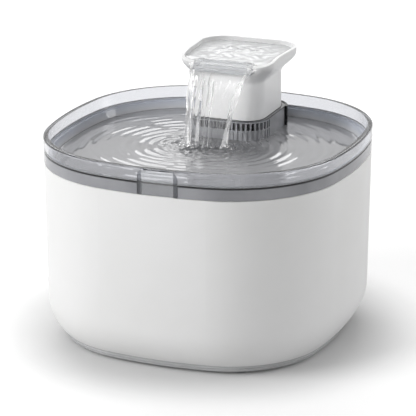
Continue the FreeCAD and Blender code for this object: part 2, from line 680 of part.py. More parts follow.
def filter_cup():
    """Slotted cup that hangs in the tray floor, with a sleeve for the riser."""
    cup = centred_block(CUP_HALF_X, CUP_HALF_Y, CUP_CORNER, CUP_FOOT_Z, BASIN_FLOOR_Z)
    flange = centred_block(CUP_HALF_X + CUP_FLANGE, CUP_HALF_Y + CUP_FLANGE, CUP_CORNER + CUP_FLANGE,
                           BASIN_FLOOR_Z, BASIN_FLOOR_Z + CUP_FLANGE_HEIGHT)
    inside = centred_block(CUP_HALF_X - CUP_WALL, CUP_HALF_Y - CUP_WALL, CUP_CORNER - CUP_WALL,
                           CUP_FOOT_Z + CUP_FLOOR, BASIN_FLOOR_Z + CUP_FLANGE_HEIGHT + CUT_OVER)
    cup = cup.fuse(flange).cut(inside).removeSplitter()
    cup = cup.fuse(post(CUP_SLEEVE_RADIUS, CUP_FOOT_Z, CUP_SLEEVE_TOP_Z, 0, RISER_Y))
    cup = cup.cut(post(CUP_SLEEVE_BORE, CUP_FOOT_Z - CUT_OVER, CUP_SLEEVE_TOP_Z + CUT_OVER, 0, RISER_Y))
    half_slot = CUP_SLOT_WIDTH / 2
    inner_x = CUP_HALF_X - 2 * CUP_WALL
    for side in (-1, 1):
        for step in range(2):
            y = RISER_Y + side * (CUP_SLEEVE_RADIUS + half_slot + step * CUP_SLOT_PITCH + CUP_WALL)
            slot = box(-inner_x / 2, inner_x / 2, y - half_slot, y + half_slot,
                       CUP_FOOT_Z - CUT_OVER, CUP_FOOT_Z + CUP_FLOOR + CUT_OVER)
            cup = cup.cut(slot)
        x = side * (CUP_SLEEVE_RADIUS + half_slot + CUP_WALL)
        slot = box(x - half_slot, x + half_slot, RISER_Y - inner_x / 2, RISER_Y + inner_x / 2,
                   CUP_FOOT_Z - CUT_OVER, CUP_FOOT_Z + CUP_FLOOR + CUT_OVER)
        cup = cup.cut(slot)
    return cup.removeSplitter()


def pump_feet():
    """Four soft feet that hold the pump on the tank floor."""
    feet = []
    for y in (PUMP_FOOT_FRONT_Y, PUMP_FOOT_REAR_Y):
        for x in (-PUMP_FOOT_X, PUMP_FOOT_X):
            foot = Part.makeCone(PUMP_FOOT_RADIUS, PUMP_FOOT_RADIUS / 2, PUMP_FOOT_HEIGHT,
                                 V(x, y, TANK_FLOOR_TOP_Z), UP)
            feet.append(foot)
    return Part.makeCompound(feet)


def receiver_coil():
    """Flat coil in the base of the pump."""
    foot = PUMP_BASE_Z + PUMP_WALL / 2
    return tube(RECEIVER_OUTER_RADIUS, RECEIVER_INNER_RADIUS, foot, foot + RECEIVER_HEIGHT, 0, pump_middle_y())


def pump_middle_y():
    """Middle of the pump body along Y."""
    return (VOLUTE_FRONT_Y + MOTOR_REAR_Y) / 2


def pump_housing():
    """Sealed motor case with the rotor well, on a base that holds the receiver coil."""
    case = rounded_block(PUMP_HALF_WIDTH, VOLUTE_REAR_Y, MOTOR_REAR_Y, PUMP_ROUND, PUMP_FOOT_Z, PUMP_TOP_Z)
    case = round_at(case, PUMP_TOP_Z, PUMP_ROUND / 2)
    base = rounded_block(PUMP_HALF_WIDTH, VOLUTE_FRONT_Y, MOTOR_REAR_Y, PUMP_ROUND, PUMP_BASE_Z, PUMP_FOOT_Z)
    hollow = rounded_block(PUMP_HALF_WIDTH - PUMP_WALL, VOLUTE_REAR_Y + PUMP_WALL, WELL_REAR_Y,
                           PUMP_ROUND - PUMP_WALL, PUMP_FOOT_Z + PUMP_WALL, PUMP_TOP_Z - PUMP_WALL)
    case = case.cut(hollow).fuse(base)
    case = case.fuse(axle(WELL_RADIUS + WELL_WALL, VOLUTE_REAR_Y, MOTOR_REAR_Y - PUMP_WALL / 2))
    case = case.cut(axle(WELL_RADIUS, VOLUTE_REAR_Y - CUT_OVER, WELL_REAR_Y))
    coil_foot = PUMP_BASE_Z + PUMP_WALL / 2
    bay = tube(RECEIVER_OUTER_RADIUS + PIECE_CLEARANCE, RECEIVER_INNER_RADIUS - PIECE_CLEARANCE,
               coil_foot, coil_foot + RECEIVER_HEIGHT + PIECE_CLEARANCE, 0, pump_middle_y())
    return case.cut(bay).removeSplitter()


def pump_volute():
    """Round impeller chamber with the inlet eye in front and the outlet stub on top."""
    drum = axle(VOLUTE_RADIUS, VOLUTE_FRONT_Y, VOLUTE_REAR_Y)
    stub = post(STUB_RADIUS, PUMP_AXIS_Z, STUB_TOP_Z, 0, RISER_Y)
    volute = drum.fuse(stub)
    volute = volute.cut(axle(VOLUTE_RADIUS - VOLUTE_WALL, VOLUTE_FRONT_Y + VOLUTE_WALL, VOLUTE_REAR_Y + CUT_OVER))
    volute = volute.cut(post(STUB_BORE, PUMP_AXIS_Z, STUB_TOP_Z + CUT_OVER, 0, RISER_Y))
    volute = volute.cut(axle(EYE_RADIUS, VOLUTE_FRONT_Y - CUT_OVER, VOLUTE_FRONT_Y + VOLUTE_WALL + CUT_OVER))
    for turn in (0, 90):
        arm = box(-EYE_RADIUS - CUT_OVER, EYE_RADIUS + CUT_OVER, VOLUTE_FRONT_Y, VOLUTE_FRONT_Y + VOLUTE_WALL,
                  PUMP_AXIS_Z - SPIDER_WIDTH / 2, PUMP_AXIS_Z + SPIDER_WIDTH / 2)
        arm.rotate(V(0, 0, PUMP_AXIS_Z), BACK, turn)
        volute = volute.fuse(arm)
    seat = axle(BEARING_RADIUS + PUMP_WALL / 2, VOLUTE_FRONT_Y, VOLUTE_FRONT_Y + VOLUTE_WALL)
    volute = volute.fuse(seat)
    hole = axle(BEARING_RADIUS, VOLUTE_FRONT_Y + VOLUTE_WALL / 2, VOLUTE_REAR_Y)
    return volute.cut(hole).removeSplitter()


def inlet_strainer():
    """Slotted cover that keeps the sponge in front of the inlet."""
    cover = rounded_block(PUMP_HALF_WIDTH, STRAINER_FRONT_Y, VOLUTE_FRONT_Y, PUMP_ROUND / 2, PUMP_BASE_Z, PUMP_TOP_Z)
    inside = box(-PUMP_HALF_WIDTH + STRAINER_WALL, PUMP_HALF_WIDTH - STRAINER_WALL,
                 STRAINER_FRONT_Y + STRAINER_WALL, VOLUTE_FRONT_Y + CUT_OVER,
                 PUMP_BASE_Z + STRAINER_WALL, PUMP_TOP_Z - STRAINER_WALL)
    cover = cover.cut(inside)
    count = int((2 * PUMP_HALF_WIDTH - 4 * STRAINER_WALL) / STRAINER_PITCH)
    start = -STRAINER_PITCH * (count - 1) / 2
    for step in range(count):
        x = start + step * STRAINER_PITCH
        slot = box(x - STRAINER_SLOT / 2, x + STRAINER_SLOT / 2, STRAINER_FRONT_Y - CUT_OVER,
                   STRAINER_FRONT_Y + 2 * STRAINER_WALL, PUMP_BASE_Z + 3 * STRAINER_WALL,
                   PUMP_TOP_Z - 3 * STRAINER_WALL)
        cover = cover.cut(slot)
    return cover


def pump_sponge():
    """Foam block behind the strainer."""
    half = PUMP_HALF_WIDTH - STRAINER_WALL - PIECE_CLEARANCE
    return box(-half, half, STRAINER_FRONT_Y + STRAINER_WALL + PIECE_CLEARANCE, VOLUTE_FRONT_Y - SPONGE_GAP,
               PUMP_BASE_Z + STRAINER_WALL + PIECE_CLEARANCE, PUMP_TOP_Z - STRAINER_WALL - PIECE_CLEARANCE)


def stator_span():
    """Where the stator lies along Y."""
    middle = (VOLUTE_REAR_Y + WELL_REAR_Y) / 2
    return middle - STATOR_LENGTH / 2, middle + STATOR_LENGTH / 2


def stator_core():
    """Laminated iron yoke round the rotor well."""
    y0, y1 = stator_span()
    half = PUMP_HALF_WIDTH - PUMP_WALL - PIECE_CLEARANCE
    foot = PUMP_FOOT_Z + PUMP_WALL + PIECE_CLEARANCE
    top = PUMP_TOP_Z - PUMP_WALL - PIECE_CLEARANCE
    yoke = box(-half, half, y0, y1, foot, top)
    window = box(-half + STATOR_CORE, half - STATOR_CORE, y0 - CUT_OVER, y1 + CUT_OVER,
                 foot + STATOR_CORE, top - STATOR_CORE)
    pole = box(-half + STATOR_CORE, half - STATOR_CORE, y0, y1,
               PUMP_AXIS_Z - STATOR_CORE, PUMP_AXIS_Z + STATOR_CORE)
    core = yoke.cut(window).fuse(pole)
    return core.cut(axle(WELL_RADIUS + WELL_WALL + PIECE_CLEARANCE, y0 - CUT_OVER, y1 + CUT_OVER)).removeSplitter()


def stator_winding():
    """Two copper windings on the poles beside the rotor well."""
    y0, y1 = stator_span()
    slack = (STATOR_LENGTH - WINDING_LENGTH) / 2
    inner = WELL_RADIUS + WELL_WALL + 2 * PIECE_CLEARANCE
    outer = PUMP_HALF_WIDTH - PUMP_WALL - STATOR_CORE - 2 * PIECE_CLEARANCE
    reach = PUMP_HEIGHT / 2 - PUMP_WALL - STATOR_CORE - 3 * PIECE_CLEARANCE
    windings = []
    for side in (-1, 1):
        x0 = min(side * inner, side * outer)
        x1 = max(side * inner, side * outer)
        coil = box(x0, x1, y0 + slack, y1 - slack, PUMP_AXIS_Z + STATOR_CORE + PIECE_CLEARANCE, PUMP_AXIS_Z + reach)
        below = box(x0, x1, y0 + slack, y1 - slack, PUMP_AXIS_Z - reach, PUMP_AXIS_Z - STATOR_CORE - PIECE_CLEARANCE)
        windings.append(coil)
        windings.append(below)
    return Part.makeCompound(windings)


def impeller_shaft():
    """Fixed ceramic pin that the impeller turns on."""
    return axle(SHAFT_RADIUS, VOLUTE_FRONT_Y + VOLUTE_WALL / 2, WELL_REAR_Y)


def shaft_bearings():
    """Two bushes that hold the ends of the pin."""
    front = axle(BEARING_RADIUS, VOLUTE_FRONT_Y + VOLUTE_WALL / 2, IMPELLER_FRONT_Y - BODY_GAP)
    rear = axle(BEARING_RADIUS, WELL_REAR_Y - BEARING_LENGTH, WELL_REAR_Y)
    pin = axle(SHAFT_RADIUS, VOLUTE_FRONT_Y, MOTOR_REAR_Y)
    return Part.makeCompound([front.cut(pin), rear.cut(pin)])


def impeller():
    """Wheel with straight vanes on a disc and a hub that reaches back to the magnet."""
    wheel = axle(IMPELLER_RADIUS, IMPELLER_REAR_Y - IMPELLER_DISC, IMPELLER_REAR_Y)
    wheel = wheel.fuse(axle(IMPELLER_HUB, IMPELLER_FRONT_Y, MAGNET_FRONT_Y))
    for index in range(VANE_COUNT):
        vane = box(0, IMPELLER_RADIUS, IMPELLER_FRONT_Y + IMPELLER_DISC, IMPELLER_REAR_Y,
                   PUMP_AXIS_Z - VANE_THICKNESS / 2, PUMP_AXIS_Z + VANE_THICKNESS / 2)
        vane.rotate(V(0, 0, PUMP_AXIS_Z), BACK, 360.0 / VANE_COUNT * index)
        wheel = wheel.fuse(vane)
    wheel = wheel.common(axle(IMPELLER_RADIUS, IMPELLER_FRONT_Y, MAGNET_FRONT_Y))
    bore = axle(SHAFT_RADIUS + SHAFT_CLEARANCE, VOLUTE_FRONT_Y, MOTOR_REAR_Y)
    return wheel.cut(bore).removeSplitter()


def rotor_magnet():
    """Magnet drum of the rotor."""
    drum = axle(MAGNET_RADIUS, MAGNET_FRONT_Y, MAGNET_REAR_Y)
    return drum.cut(axle(SHAFT_RADIUS + SHAFT_CLEARANCE, VOLUTE_FRONT_Y, MOTOR_REAR_Y))


def riser_tube():
    """Tube pushed over the pump's outlet stub."""
    riser = post(RISER_RADIUS, RISER_FOOT_Z, RISER_TOP_Z, 0, RISER_Y)
    riser = riser.cut(post(STUB_RADIUS, RISER_FOOT_Z - CUT_OVER, STUB_TOP_Z, 0, RISER_Y))
    return riser.cut(post(RISER_BORE, RISER_FOOT_Z, RISER_TOP_Z + CUT_OVER, 0, RISER_Y))


def riser_seal():
    """Soft ring near the top of the riser."""
    top = RISER_TOP_Z - SEAL_DROP
    return tube(RISER_RADIUS + SEAL_WIDTH, RISER_RADIUS, top - SEAL_HEIGHT, top, 0, RISER_Y)


def collar_block(inset, z0, z1):
    """Block with the collar's outline, moved in by the inset."""
    return rounded_block(COLLAR_HALF_X - inset, COLLAR_FRONT_Y + inset, COLLAR_BACK_Y - inset,
                         COLLAR_CORNER - inset, z0, z1)


def collar_stations():
    """Points round the collar's outline with the direction that they face, one per window."""
    wire = rounded_wire(COLLAR_HALF_X, COLLAR_FRONT_Y, COLLAR_BACK_Y, COLLAR_CORNER, 0)
    count = round(wire.Length / COLLAR_WINDOW_PITCH)
    points = wire.discretize(Number=count + 1)[:-1]
    stations = []
    for index, point in enumerate(points):
        ahead = points[(index + 1) % count] - points[index - 1]
        stations.append((point, math.degrees(math.atan2(ahead.y, ahead.x))))
    return stations


def station_block(point, angle, width, depth_in, depth_out, z0, z1):
    """Small block across the collar's wall at a station."""
    block = box(-width / 2, width / 2, -depth_out, depth_in, z0, z1)
    block.rotate(V(0, 0, 0), UP, angle)
    block.translate(V(point.x, point.y, 0))
    return block


def drain_collar():
    """Ribbed ring round the foot of the tower, with windows, drain notches and an inner web."""
    ring = collar_block(0, COLLAR_FOOT_Z, COLLAR_TOP_Z)
    ring = ring.cut(collar_block(COLLAR_WALL, COLLAR_FOOT_Z - CUT_OVER, COLLAR_TOP_Z + CUT_OVER))
    web = collar_block(COLLAR_WALL / 2, COLLAR_WEB_Z, COLLAR_WEB_Z + COLLAR_WEB)
    web = web.cut(post(RISER_RADIUS + COLLAR_WEB_GAP, COLLAR_WEB_Z - CUT_OVER,
                       COLLAR_WEB_Z + COLLAR_WEB + CUT_OVER, 0, RISER_Y))
    collar = ring.fuse(web)
    cuts = []
    notch_top = COLLAR_FOOT_Z + COLLAR_NOTCH_HEIGHT
    for index, (point, angle) in enumerate(collar_stations()):
        if index % 2 == 0:
            cuts.append(station_block(point, angle, COLLAR_WINDOW_WIDTH, 2 * COLLAR_WALL, COLLAR_WALL,
                                      COLLAR_FOOT_Z - CUT_OVER, notch_top))
        if point.y < COLLAR_FRONT_Y + COLLAR_RIBBED:
            cuts.append(station_block(point, angle, COLLAR_WINDOW_WIDTH, 2 * COLLAR_WALL, COLLAR_WALL,
                                      COLLAR_WINDOW_FOOT_Z, COLLAR_WINDOW_TOP_Z))
            cuts.append(station_block(point, angle, COLLAR_GROOVE_WIDTH, COLLAR_GROOVE, COLLAR_WALL,
                                      notch_top + COLLAR_GROOVE_EDGE,
                                      COLLAR_WINDOW_FOOT_Z - COLLAR_GROOVE_EDGE))
    return collar.cut(cuts).removeSplitter()


def collar_clip():
    """Black band that wraps the back of the collar."""
    outer = rounded_block(COLLAR_HALF_X + CLIP_THICKNESS, COLLAR_FRONT_Y, COLLAR_BACK_Y + CLIP_THICKNESS,
                          COLLAR_CORNER + CLIP_THICKNESS, CLIP_FOOT_Z, CLIP_TOP_Z)
    outer = round_at(outer, CLIP_TOP_Z, CLIP_ROUND)
    band = outer.cut(collar_block(0, CLIP_FOOT_Z - CUT_OVER, CLIP_TOP_Z + CUT_OVER))
    return band.common(box(-HALF_WIDTH, HALF_WIDTH, CLIP_FRONT_Y, HALF_WIDTH, CLIP_FOOT_Z, CLIP_TOP_Z))


def filter_block(inset, z0, z1):
    """Block with the cartridge's outline, moved in by the inset."""
    reach = CUP_WALL + FILTER_GAP + inset
    return centred_block(CUP_HALF_X - reach, CUP_HALF_Y - reach, CUP_CORNER - reach, z0, z1)


def filter_bore():
    """Hole through the cartridge for the sleeve."""
    radius = CUP_SLEEVE_RADIUS + FILTER_SLEEVE_GAP
    return post(radius, FILTER_FOOT_Z - CUT_OVER, COLLAR_WEB_Z + CUT_OVER, 0, RISER_Y)


def filter_frame():
    """Open cage of the cartridge that clips under the collar's web."""
    frame = filter_block(0, FILTER_FOOT_Z, COLLAR_WEB_Z)
    inside = filter_block(FILTER_RING_WIDTH, FILTER_FOOT_Z - CUT_OVER, COLLAR_WEB_Z + CUT_OVER)
    frame = frame.cut(inside)
    low = FILTER_FOOT_Z + FILTER_RING_HEIGHT
    high = COLLAR_WEB_Z - FILTER_RING_HEIGHT
    half_x = CUP_HALF_X - CUP_CORNER
    half_y = CUP_HALF_Y - CUP_CORNER
    frame = frame.cut(box(-half_x, half_x, 0, HALF_WIDTH, low, high))
    return frame.cut(box(-HALF_WIDTH, HALF_WIDTH, RISER_Y - half_y, RISER_Y + half_y, low, high))


def filter_media():
    """Block of carbon and fibre inside the cage."""
    media = filter_block(FILTER_RING_WIDTH + FILTER_MEDIA_INSET / 4, FILTER_FOOT_Z, COLLAR_WEB_Z - FILTER_MEDIA_INSET)
    return media.cut(filter_bore())


def head_share(z):
    """How much of the flare from column to head is reached at a height."""
    rise = min(max((z - FLARE_FOOT_Z) / (FLARE_TOP_Z - FLARE_FOOT_Z), 0.0), 1.0)
    return rise * rise * (3.0 - 2.0 * rise)


def between(low, high, share):
    """Value between two sizes."""
    return low + (high - low) * share


def head_wire(z, share, inset):
    """Outline of the tower for a share of its flare, moved in by the inset."""
    front_x = between(TOWER_HALF_X, HEAD_FRONT_HALF_X, share) - inset
    back_x = between(TOWER_HALF_X, HEAD_BACK_HALF_X, share) - inset
    y0 = between(TOWER_FRONT_Y, HEAD_FRONT_Y, share) + inset
    y1 = between(TOWER_BACK_Y, HEAD_BACK_Y, share) - inset
    front_corner = between(TOWER_CORNER, HEAD_FRONT_CORNER, share) - inset
    back_corner = between(TOWER_CORNER, HEAD_BACK_CORNER, share) - inset
    return corner_wire(front_x, back_x, y0, y1, front_corner, back_corner, z)


def flare_heights(low, high):
    """Evenly spaced heights of the flare's sections."""
    heights = []
    for step in range(FLARE_STEPS + 1):
        heights.append(between(low, high, step / FLARE_STEPS))
    return heights


def tower_flare():
    """Outer form of the tower from the foot of the flare to above the rim."""
    wires = []
    for z in flare_heights(FLARE_FOOT_Z, FLARE_TOP_Z):
        wires.append(head_wire(z, head_share(z), 0))
    flare = Part.makeLoft(wires, True, False)
    band = Part.Face(head_wire(FLARE_TOP_Z, 1.0, 0)).extrude(V(0, 0, HEAD_TOP_Z - FLARE_TOP_Z))
    column = Part.Face(head_wire(TOWER_FOOT_Z, 0.0, 0)).extrude(V(0, 0, FLARE_FOOT_Z - TOWER_FOOT_Z))
    return column.fuse([flare, band]).removeSplitter()


def pool_form():
    """Hollow of the pool in the head."""
    wires = []
    top = FLARE_TOP_Z + POOL_FLOOR
    for z in flare_heights(POOL_FLOOR_Z, top):
        wires.append(head_wire(z, head_share(z - POOL_FLOOR), HEAD_WALL))
    bowl = Part.makeLoft(wires, True, False)
    mouth = Part.Face(head_wire(top, 1.0, HEAD_WALL)).extrude(V(0, 0, HEAD_TOP_Z + CUT_OVER - top))
    return bowl.fuse(mouth)


def rim_dip():
    """Wedge above the rim that lets it fall away towards the front."""
    drop_y = HEAD_FRONT_Y - 2 * CUT_OVER
    centre_z = HEAD_TOP_Z - RIM_DIP_RADIUS
    reach = RIM_DIP_START_Y - drop_y
    end_angle = math.asin(reach / RIM_DIP_RADIUS)
    points = []
    for angle in (0, end_angle / 2, end_angle):
        points.append(V(0, RIM_DIP_START_Y - RIM_DIP_RADIUS * math.sin(angle),
                        centre_z + RIM_DIP_RADIUS * math.cos(angle)))
    high = HEAD_TOP_Z + CUT_OVER
    edges = [Part.Arc(*points).toShape(),
             Part.makeLine(points[2], V(0, drop_y, high)),
             Part.makeLine(V(0, drop_y, high), V(0, RIM_DIP_START_Y, high)),
             Part.makeLine(V(0, RIM_DIP_START_Y, high), points[0])]
    wedge = Part.Face(Part.Wire(edges)).extrude(V(2 * HALF_WIDTH, 0, 0))
    wedge.translate(V(-HALF_WIDTH, 0, 0))
    return wedge


def spout_tower():
    """White hollow column with a flared head that holds a shallow pool."""
    tower = tower_flare()
    inside = Part.Face(head_wire(TOWER_FOOT_Z - CUT_OVER, 0.0, TOWER_WALL))
    inside = inside.extrude(V(0, 0, POOL_FLOOR_Z - POOL_FLOOR - TOWER_FOOT_Z + CUT_OVER))
    tower = tower.cut(inside).cut(pool_form()).cut(rim_dip())
    seat = LIP_HALF_X + PIECE_CLEARANCE
    shelf = box(-seat, seat, HEAD_FRONT_Y - CUT_OVER, LIP_FRONT_Y + LIP_DEPTH + LIP_THICKNESS,
                lip_foot_z(), HEAD_TOP_Z + CUT_OVER)
    spigot = collar_spigot(COLLAR_WALL + TOWER_SPIGOT_GAP)
    pipe_hole = post(PIPE_RADIUS, POOL_FLOOR_Z - 2 * POOL_FLOOR, POOL_FLOOR_Z + CUT_OVER, 0, RISER_Y)
    return tower.cut(shelf).fuse(spigot).cut(pipe_hole).removeSplitter()


def collar_spigot(inset):
    """Short ring under the column that drops into the collar."""
    top = TOWER_FOOT_Z + TOWER_SPIGOT
    ring = rounded_block(TOWER_HALF_X - TOWER_WALL / 2, TOWER_FRONT_Y + inset, TOWER_BACK_Y - TOWER_WALL / 2,
                         TOWER_CORNER - TOWER_WALL / 2, TOWER_FOOT_Z - TOWER_SPIGOT, top)
    return ring.cut(rounded_block(TOWER_HALF_X - TOWER_WALL, TOWER_FRONT_Y + TOWER_WALL + inset,
                                  TOWER_BACK_Y - TOWER_WALL, TOWER_CORNER - TOWER_WALL,
                                  TOWER_FOOT_Z - TOWER_SPIGOT - CUT_OVER, top + CUT_OVER))


def tower_pipe():
    """Pipe in the tower whose lower socket slips over the riser."""
    pipe = post(SOCKET_RADIUS, SOCKET_FOOT_Z, SOCKET_TOP_Z, 0, RISER_Y)
    pipe = pipe.fuse(post(PIPE_RADIUS, SOCKET_TOP_Z, POOL_FLOOR_Z, 0, RISER_Y))
    pipe = pipe.cut(post(SOCKET_BORE, SOCKET_FOOT_Z - CUT_OVER, RISER_TOP_Z + CUT_OVER, 0, RISER_Y))
    return pipe.cut(post(PIPE_BORE, SOCKET_FOOT_Z, POOL_FLOOR_Z + CUT_OVER, 0, RISER_Y)).removeSplitter()


def flow_diffuser():
    """Round cap over the pipe that lets the water well up through gaps at its side."""
    top = POOL_FLOOR_Z + DIFFUSER_HEIGHT
    cap = post(DIFFUSER_RADIUS, top - DIFFUSER_TOP, top, 0, RISER_Y)
    cap = cap.makeFillet(DIFFUSER_TOP / 2, edges_at(cap, top))
    ring = tube(DIFFUSER_RADIUS, DIFFUSER_RADIUS - DIFFUSER_TOP, POOL_FLOOR_Z, top - DIFFUSER_TOP, 0, RISER_Y)
    for index in range(DIFFUSER_POSTS):
        gap = box(0, DIFFUSER_RADIUS + CUT_OVER, -DIFFUSER_TOP, DIFFUSER_TOP,
                  POOL_FLOOR_Z + DIFFUSER_TOP / 2, top - DIFFUSER_TOP)
        gap.rotate(V(0, 0, 0), UP, 360.0 / DIFFUSER_POSTS * index)
        gap.translate(V(0, RISER_Y, 0))
        ring = ring.cut(gap)
    return cap.fuse(ring).removeSplitter()


def lip_foot_z():
    """Height of the shelf in the head's front that the lip stands on."""
    return HEAD_TOP_Z - LIP_CREST_DROP - LIP_RISE - LIP_THICKNESS


def profile_block(half_x, points):
    """Solid of one outline in the YZ plane, as wide as twice the half width."""
    corners = []
    for y, z in points:
        corners.append(V(-half_x, y, z))
    corners.append(corners[0])
    return Part.Face(Part.makePolygon(corners)).extrude(V(2 * half_x, 0, 0))


def spout_lip():
    """Clear weir over the front edge: a sloping plate on side ribs, turned down in front."""
    foot = lip_foot_z()
    front = LIP_FRONT_Y
    rear = LIP_FRONT_Y + LIP_DEPTH
    low = foot + LIP_THICKNESS
    high = low + LIP_RISE
    wedge = profile_block(LIP_HALF_X, [(front, foot), (rear, foot), (rear, high), (front, low)])
    hollow = profile_block(LIP_HALF_X - LIP_THICKNESS,
                           [(front + LIP_THICKNESS, foot - CUT_OVER), (rear - LIP_THICKNESS, foot - CUT_OVER),
                            (rear - LIP_THICKNESS, high - LIP_THICKNESS), (front + LIP_THICKNESS, foot)])
    apron = box(-LIP_HALF_X, LIP_HALF_X, front - LIP_THICKNESS, front, low - LIP_FRONT_DROP, low)
    weir = box(-LIP_FOOT_HALF_X, LIP_FOOT_HALF_X, rear, rear + LIP_THICKNESS, POOL_FLOOR_Z, high)
    lip = wedge.cut(hollow).fuse([apron, weir]).removeSplitter()
    front_top = []
    for edge in edges_at(lip, low):
        if abs(edge.BoundBox.YMax - (front - LIP_THICKNESS)) < 0.01:
            front_top.append(edge)
    return lip.makeFillet(LIP_THICKNESS * 0.8, front_top)


os.makedirs("parts", exist_ok=True)
PIECES = [outer_housing, base_cover, base_feet, base_screws, control_board, transmitter_coil, coil_shield,
          power_inlet, water_tank, pump_feet, pump_housing, pump_volute, inlet_strainer, pump_sponge,
          stator_core, stator_winding, receiver_coil, impeller_shaft, shaft_bearings, impeller, rotor_magnet,
          riser_tube, riser_seal, drinking_tray, tray_gasket, front_tab, filter_cup, drain_collar,
          collar_clip, filter_frame, filter_media, spout_tower, spout_lip, tower_pipe, flow_diffuser]
for piece in PIECES:
    save(piece.__name__, piece())
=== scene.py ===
import math

import bpy
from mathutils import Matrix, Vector


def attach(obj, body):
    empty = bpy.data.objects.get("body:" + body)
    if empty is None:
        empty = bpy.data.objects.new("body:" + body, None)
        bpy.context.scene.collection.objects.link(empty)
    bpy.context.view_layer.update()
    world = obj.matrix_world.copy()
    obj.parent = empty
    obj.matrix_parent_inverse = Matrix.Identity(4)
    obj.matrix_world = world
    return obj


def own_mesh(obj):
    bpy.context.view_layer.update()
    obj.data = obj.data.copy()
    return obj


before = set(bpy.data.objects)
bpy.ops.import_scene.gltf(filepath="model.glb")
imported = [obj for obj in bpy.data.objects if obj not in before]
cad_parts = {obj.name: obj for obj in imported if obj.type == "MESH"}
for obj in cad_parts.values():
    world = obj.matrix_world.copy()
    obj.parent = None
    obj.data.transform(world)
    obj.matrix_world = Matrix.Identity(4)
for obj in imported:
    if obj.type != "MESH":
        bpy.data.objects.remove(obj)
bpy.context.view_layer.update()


# The camera stands to the right of the front and looks a little down, as in the photograph.
# A long lens from 1.5 m away keeps the sides of the fountain nearly parallel.
view_point = Vector((0.51198, -1.30933, 0.52631))
view_target = Vector((-0.00076, -0.0003, 0.07521))
bpy.ops.object.camera_add(location=view_point)
camera = bpy.context.object
camera.rotation_mode = "QUATERNION"
camera.rotation_quaternion = (view_target - view_point).to_track_quat("-Z", "Y")
camera.data.sensor_width = 36
camera.data.lens = 207.9
bpy.context.scene.camera = camera


# White housing, one ABS moulding with a spark eroded finish.
# It gives a soft even sheen, a very fine grain and no visible colour change but a faint warm cloud.
MM = 0.001


def linear(hex_colour):
    """An sRGB hex colour as the linear values that a shader takes."""
    values = []
    for start in (0, 2, 4):
        part = int(hex_colour[start:start + 2], 16) / 255
        values.append(part / 12.92 if part <= 0.04045 else ((part + 0.055) / 1.055) ** 2.4)
    return values + [1.0]


def add_node(material, kind, values=None, links=None, **settings):
    """Adds one node with its settings, the values of its sockets and what is linked to them."""
    made = material.node_tree.nodes.new("ShaderNode" + kind)
    for name, value in settings.items():
        setattr(made, name, value)
    for socket, value in (values or {}).items():
        made.inputs[socket].default_value = value
    for socket, source in (links or {}).items():
        material.node_tree.links.new(source, made.inputs[socket])
    return made


def start_material(name, hex_colour, **values):
    """A material with one shader, its colour and its fixed values."""
    material = bpy.data.materials.new(name)
    material.use_nodes = True
    shader = material.node_tree.nodes["Principled BSDF"]
    shader.inputs["Base Color"].default_value = linear(hex_colour)
    for socket, value in values.items():
        shader.inputs[socket.replace("_", " ")].default_value = value
    return material, shader


def add_clouds(material, shader, low, high, size_mm):
    """Lets the colour drift between two hex colours in clouds of that size."""
    place = add_node(material, "TexCoord")
    clouds = add_node(material, "TexNoise", {"Scale": 1 / (size_mm * MM), "Detail": 3.0},
                      {"Vector": place.outputs["Object"]})
    ramp = add_node(material, "ValToRGB", None, {"Fac": clouds.outputs["Fac"]})
    ramp.color_ramp.elements[0].position = 0.3
    ramp.color_ramp.elements[1].position = 0.7
    ramp.color_ramp.elements[0].color = linear(low)
    ramp.color_ramp.elements[1].color = linear(high)
    material.node_tree.links.new(ramp.outputs["Color"], shader.inputs["Base Color"])


def add_grain(material, shader, size_mm, depth_mm, strength=1.0):
    """Raises a fine grain of that size on the surface."""
    place = add_node(material, "TexCoord")
    grain = add_node(material, "TexNoise", {"Scale": 1 / (size_mm * MM), "Detail": 2.0},
                     {"Vector": place.outputs["Object"]})
    bump = add_node(material, "Bump", {"Distance": depth_mm * MM, "Strength": strength},
                    {"Height": grain.outputs["Fac"]})
    material.node_tree.links.new(bump.outputs["Normal"], shader.inputs["Normal"])


def finish_nodes(material, *names):
    """Gives CAD nodes their material."""
    for name in names:
        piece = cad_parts[name]
        if not piece.material_slots:
            piece.data.materials.append(material)
        for place in piece.material_slots:
            place.material = material


white_abs, white_shader = start_material("satin white ABS", "EFEFEE", Roughness=0.42, IOR=1.53)
add_clouds(white_abs, white_shader, "EDEDEC", "F2F2F2", 60)
add_grain(white_abs, white_shader, 0.5, 0.01, 0.5)
finish_nodes(white_abs, "outer_housing", "filter_frame")


# Grey bottom cover, moulded ABS pressed into the housing and held by four screws.
# Its edge shows two fine parting grooves, so a low wave runs round it every 1.6 mm of height.
def add_lines(material, shader, spacing_mm, depth_mm, strength=1.0, wave_values=None, **settings):
    """Raises lines that far apart. A wave at scale 1 has a length of 0.314."""
    place = add_node(material, "TexCoord")
    values = {"Scale": 0.314 / (spacing_mm * MM)}
    values.update(wave_values or {})
    lines = add_node(material, "TexWave", values, {"Vector": place.outputs["Object"]}, **settings)
    bump = add_node(material, "Bump", {"Distance": depth_mm * MM, "Strength": strength},
                    {"Height": lines.outputs["Fac"]})
    material.node_tree.links.new(bump.outputs["Normal"], shader.inputs["Normal"])


grey_abs, grey_shader = start_material("satin grey ABS", "C6C7C8", Roughness=0.45, IOR=1.53)
add_clouds(grey_abs, grey_shader, "BFC0C1", "CDCECF", 30)
add_lines(grey_abs, grey_shader, 1.6, 0.2, 0.6, bands_direction="Z")
finish_nodes(grey_abs, "base_cover")


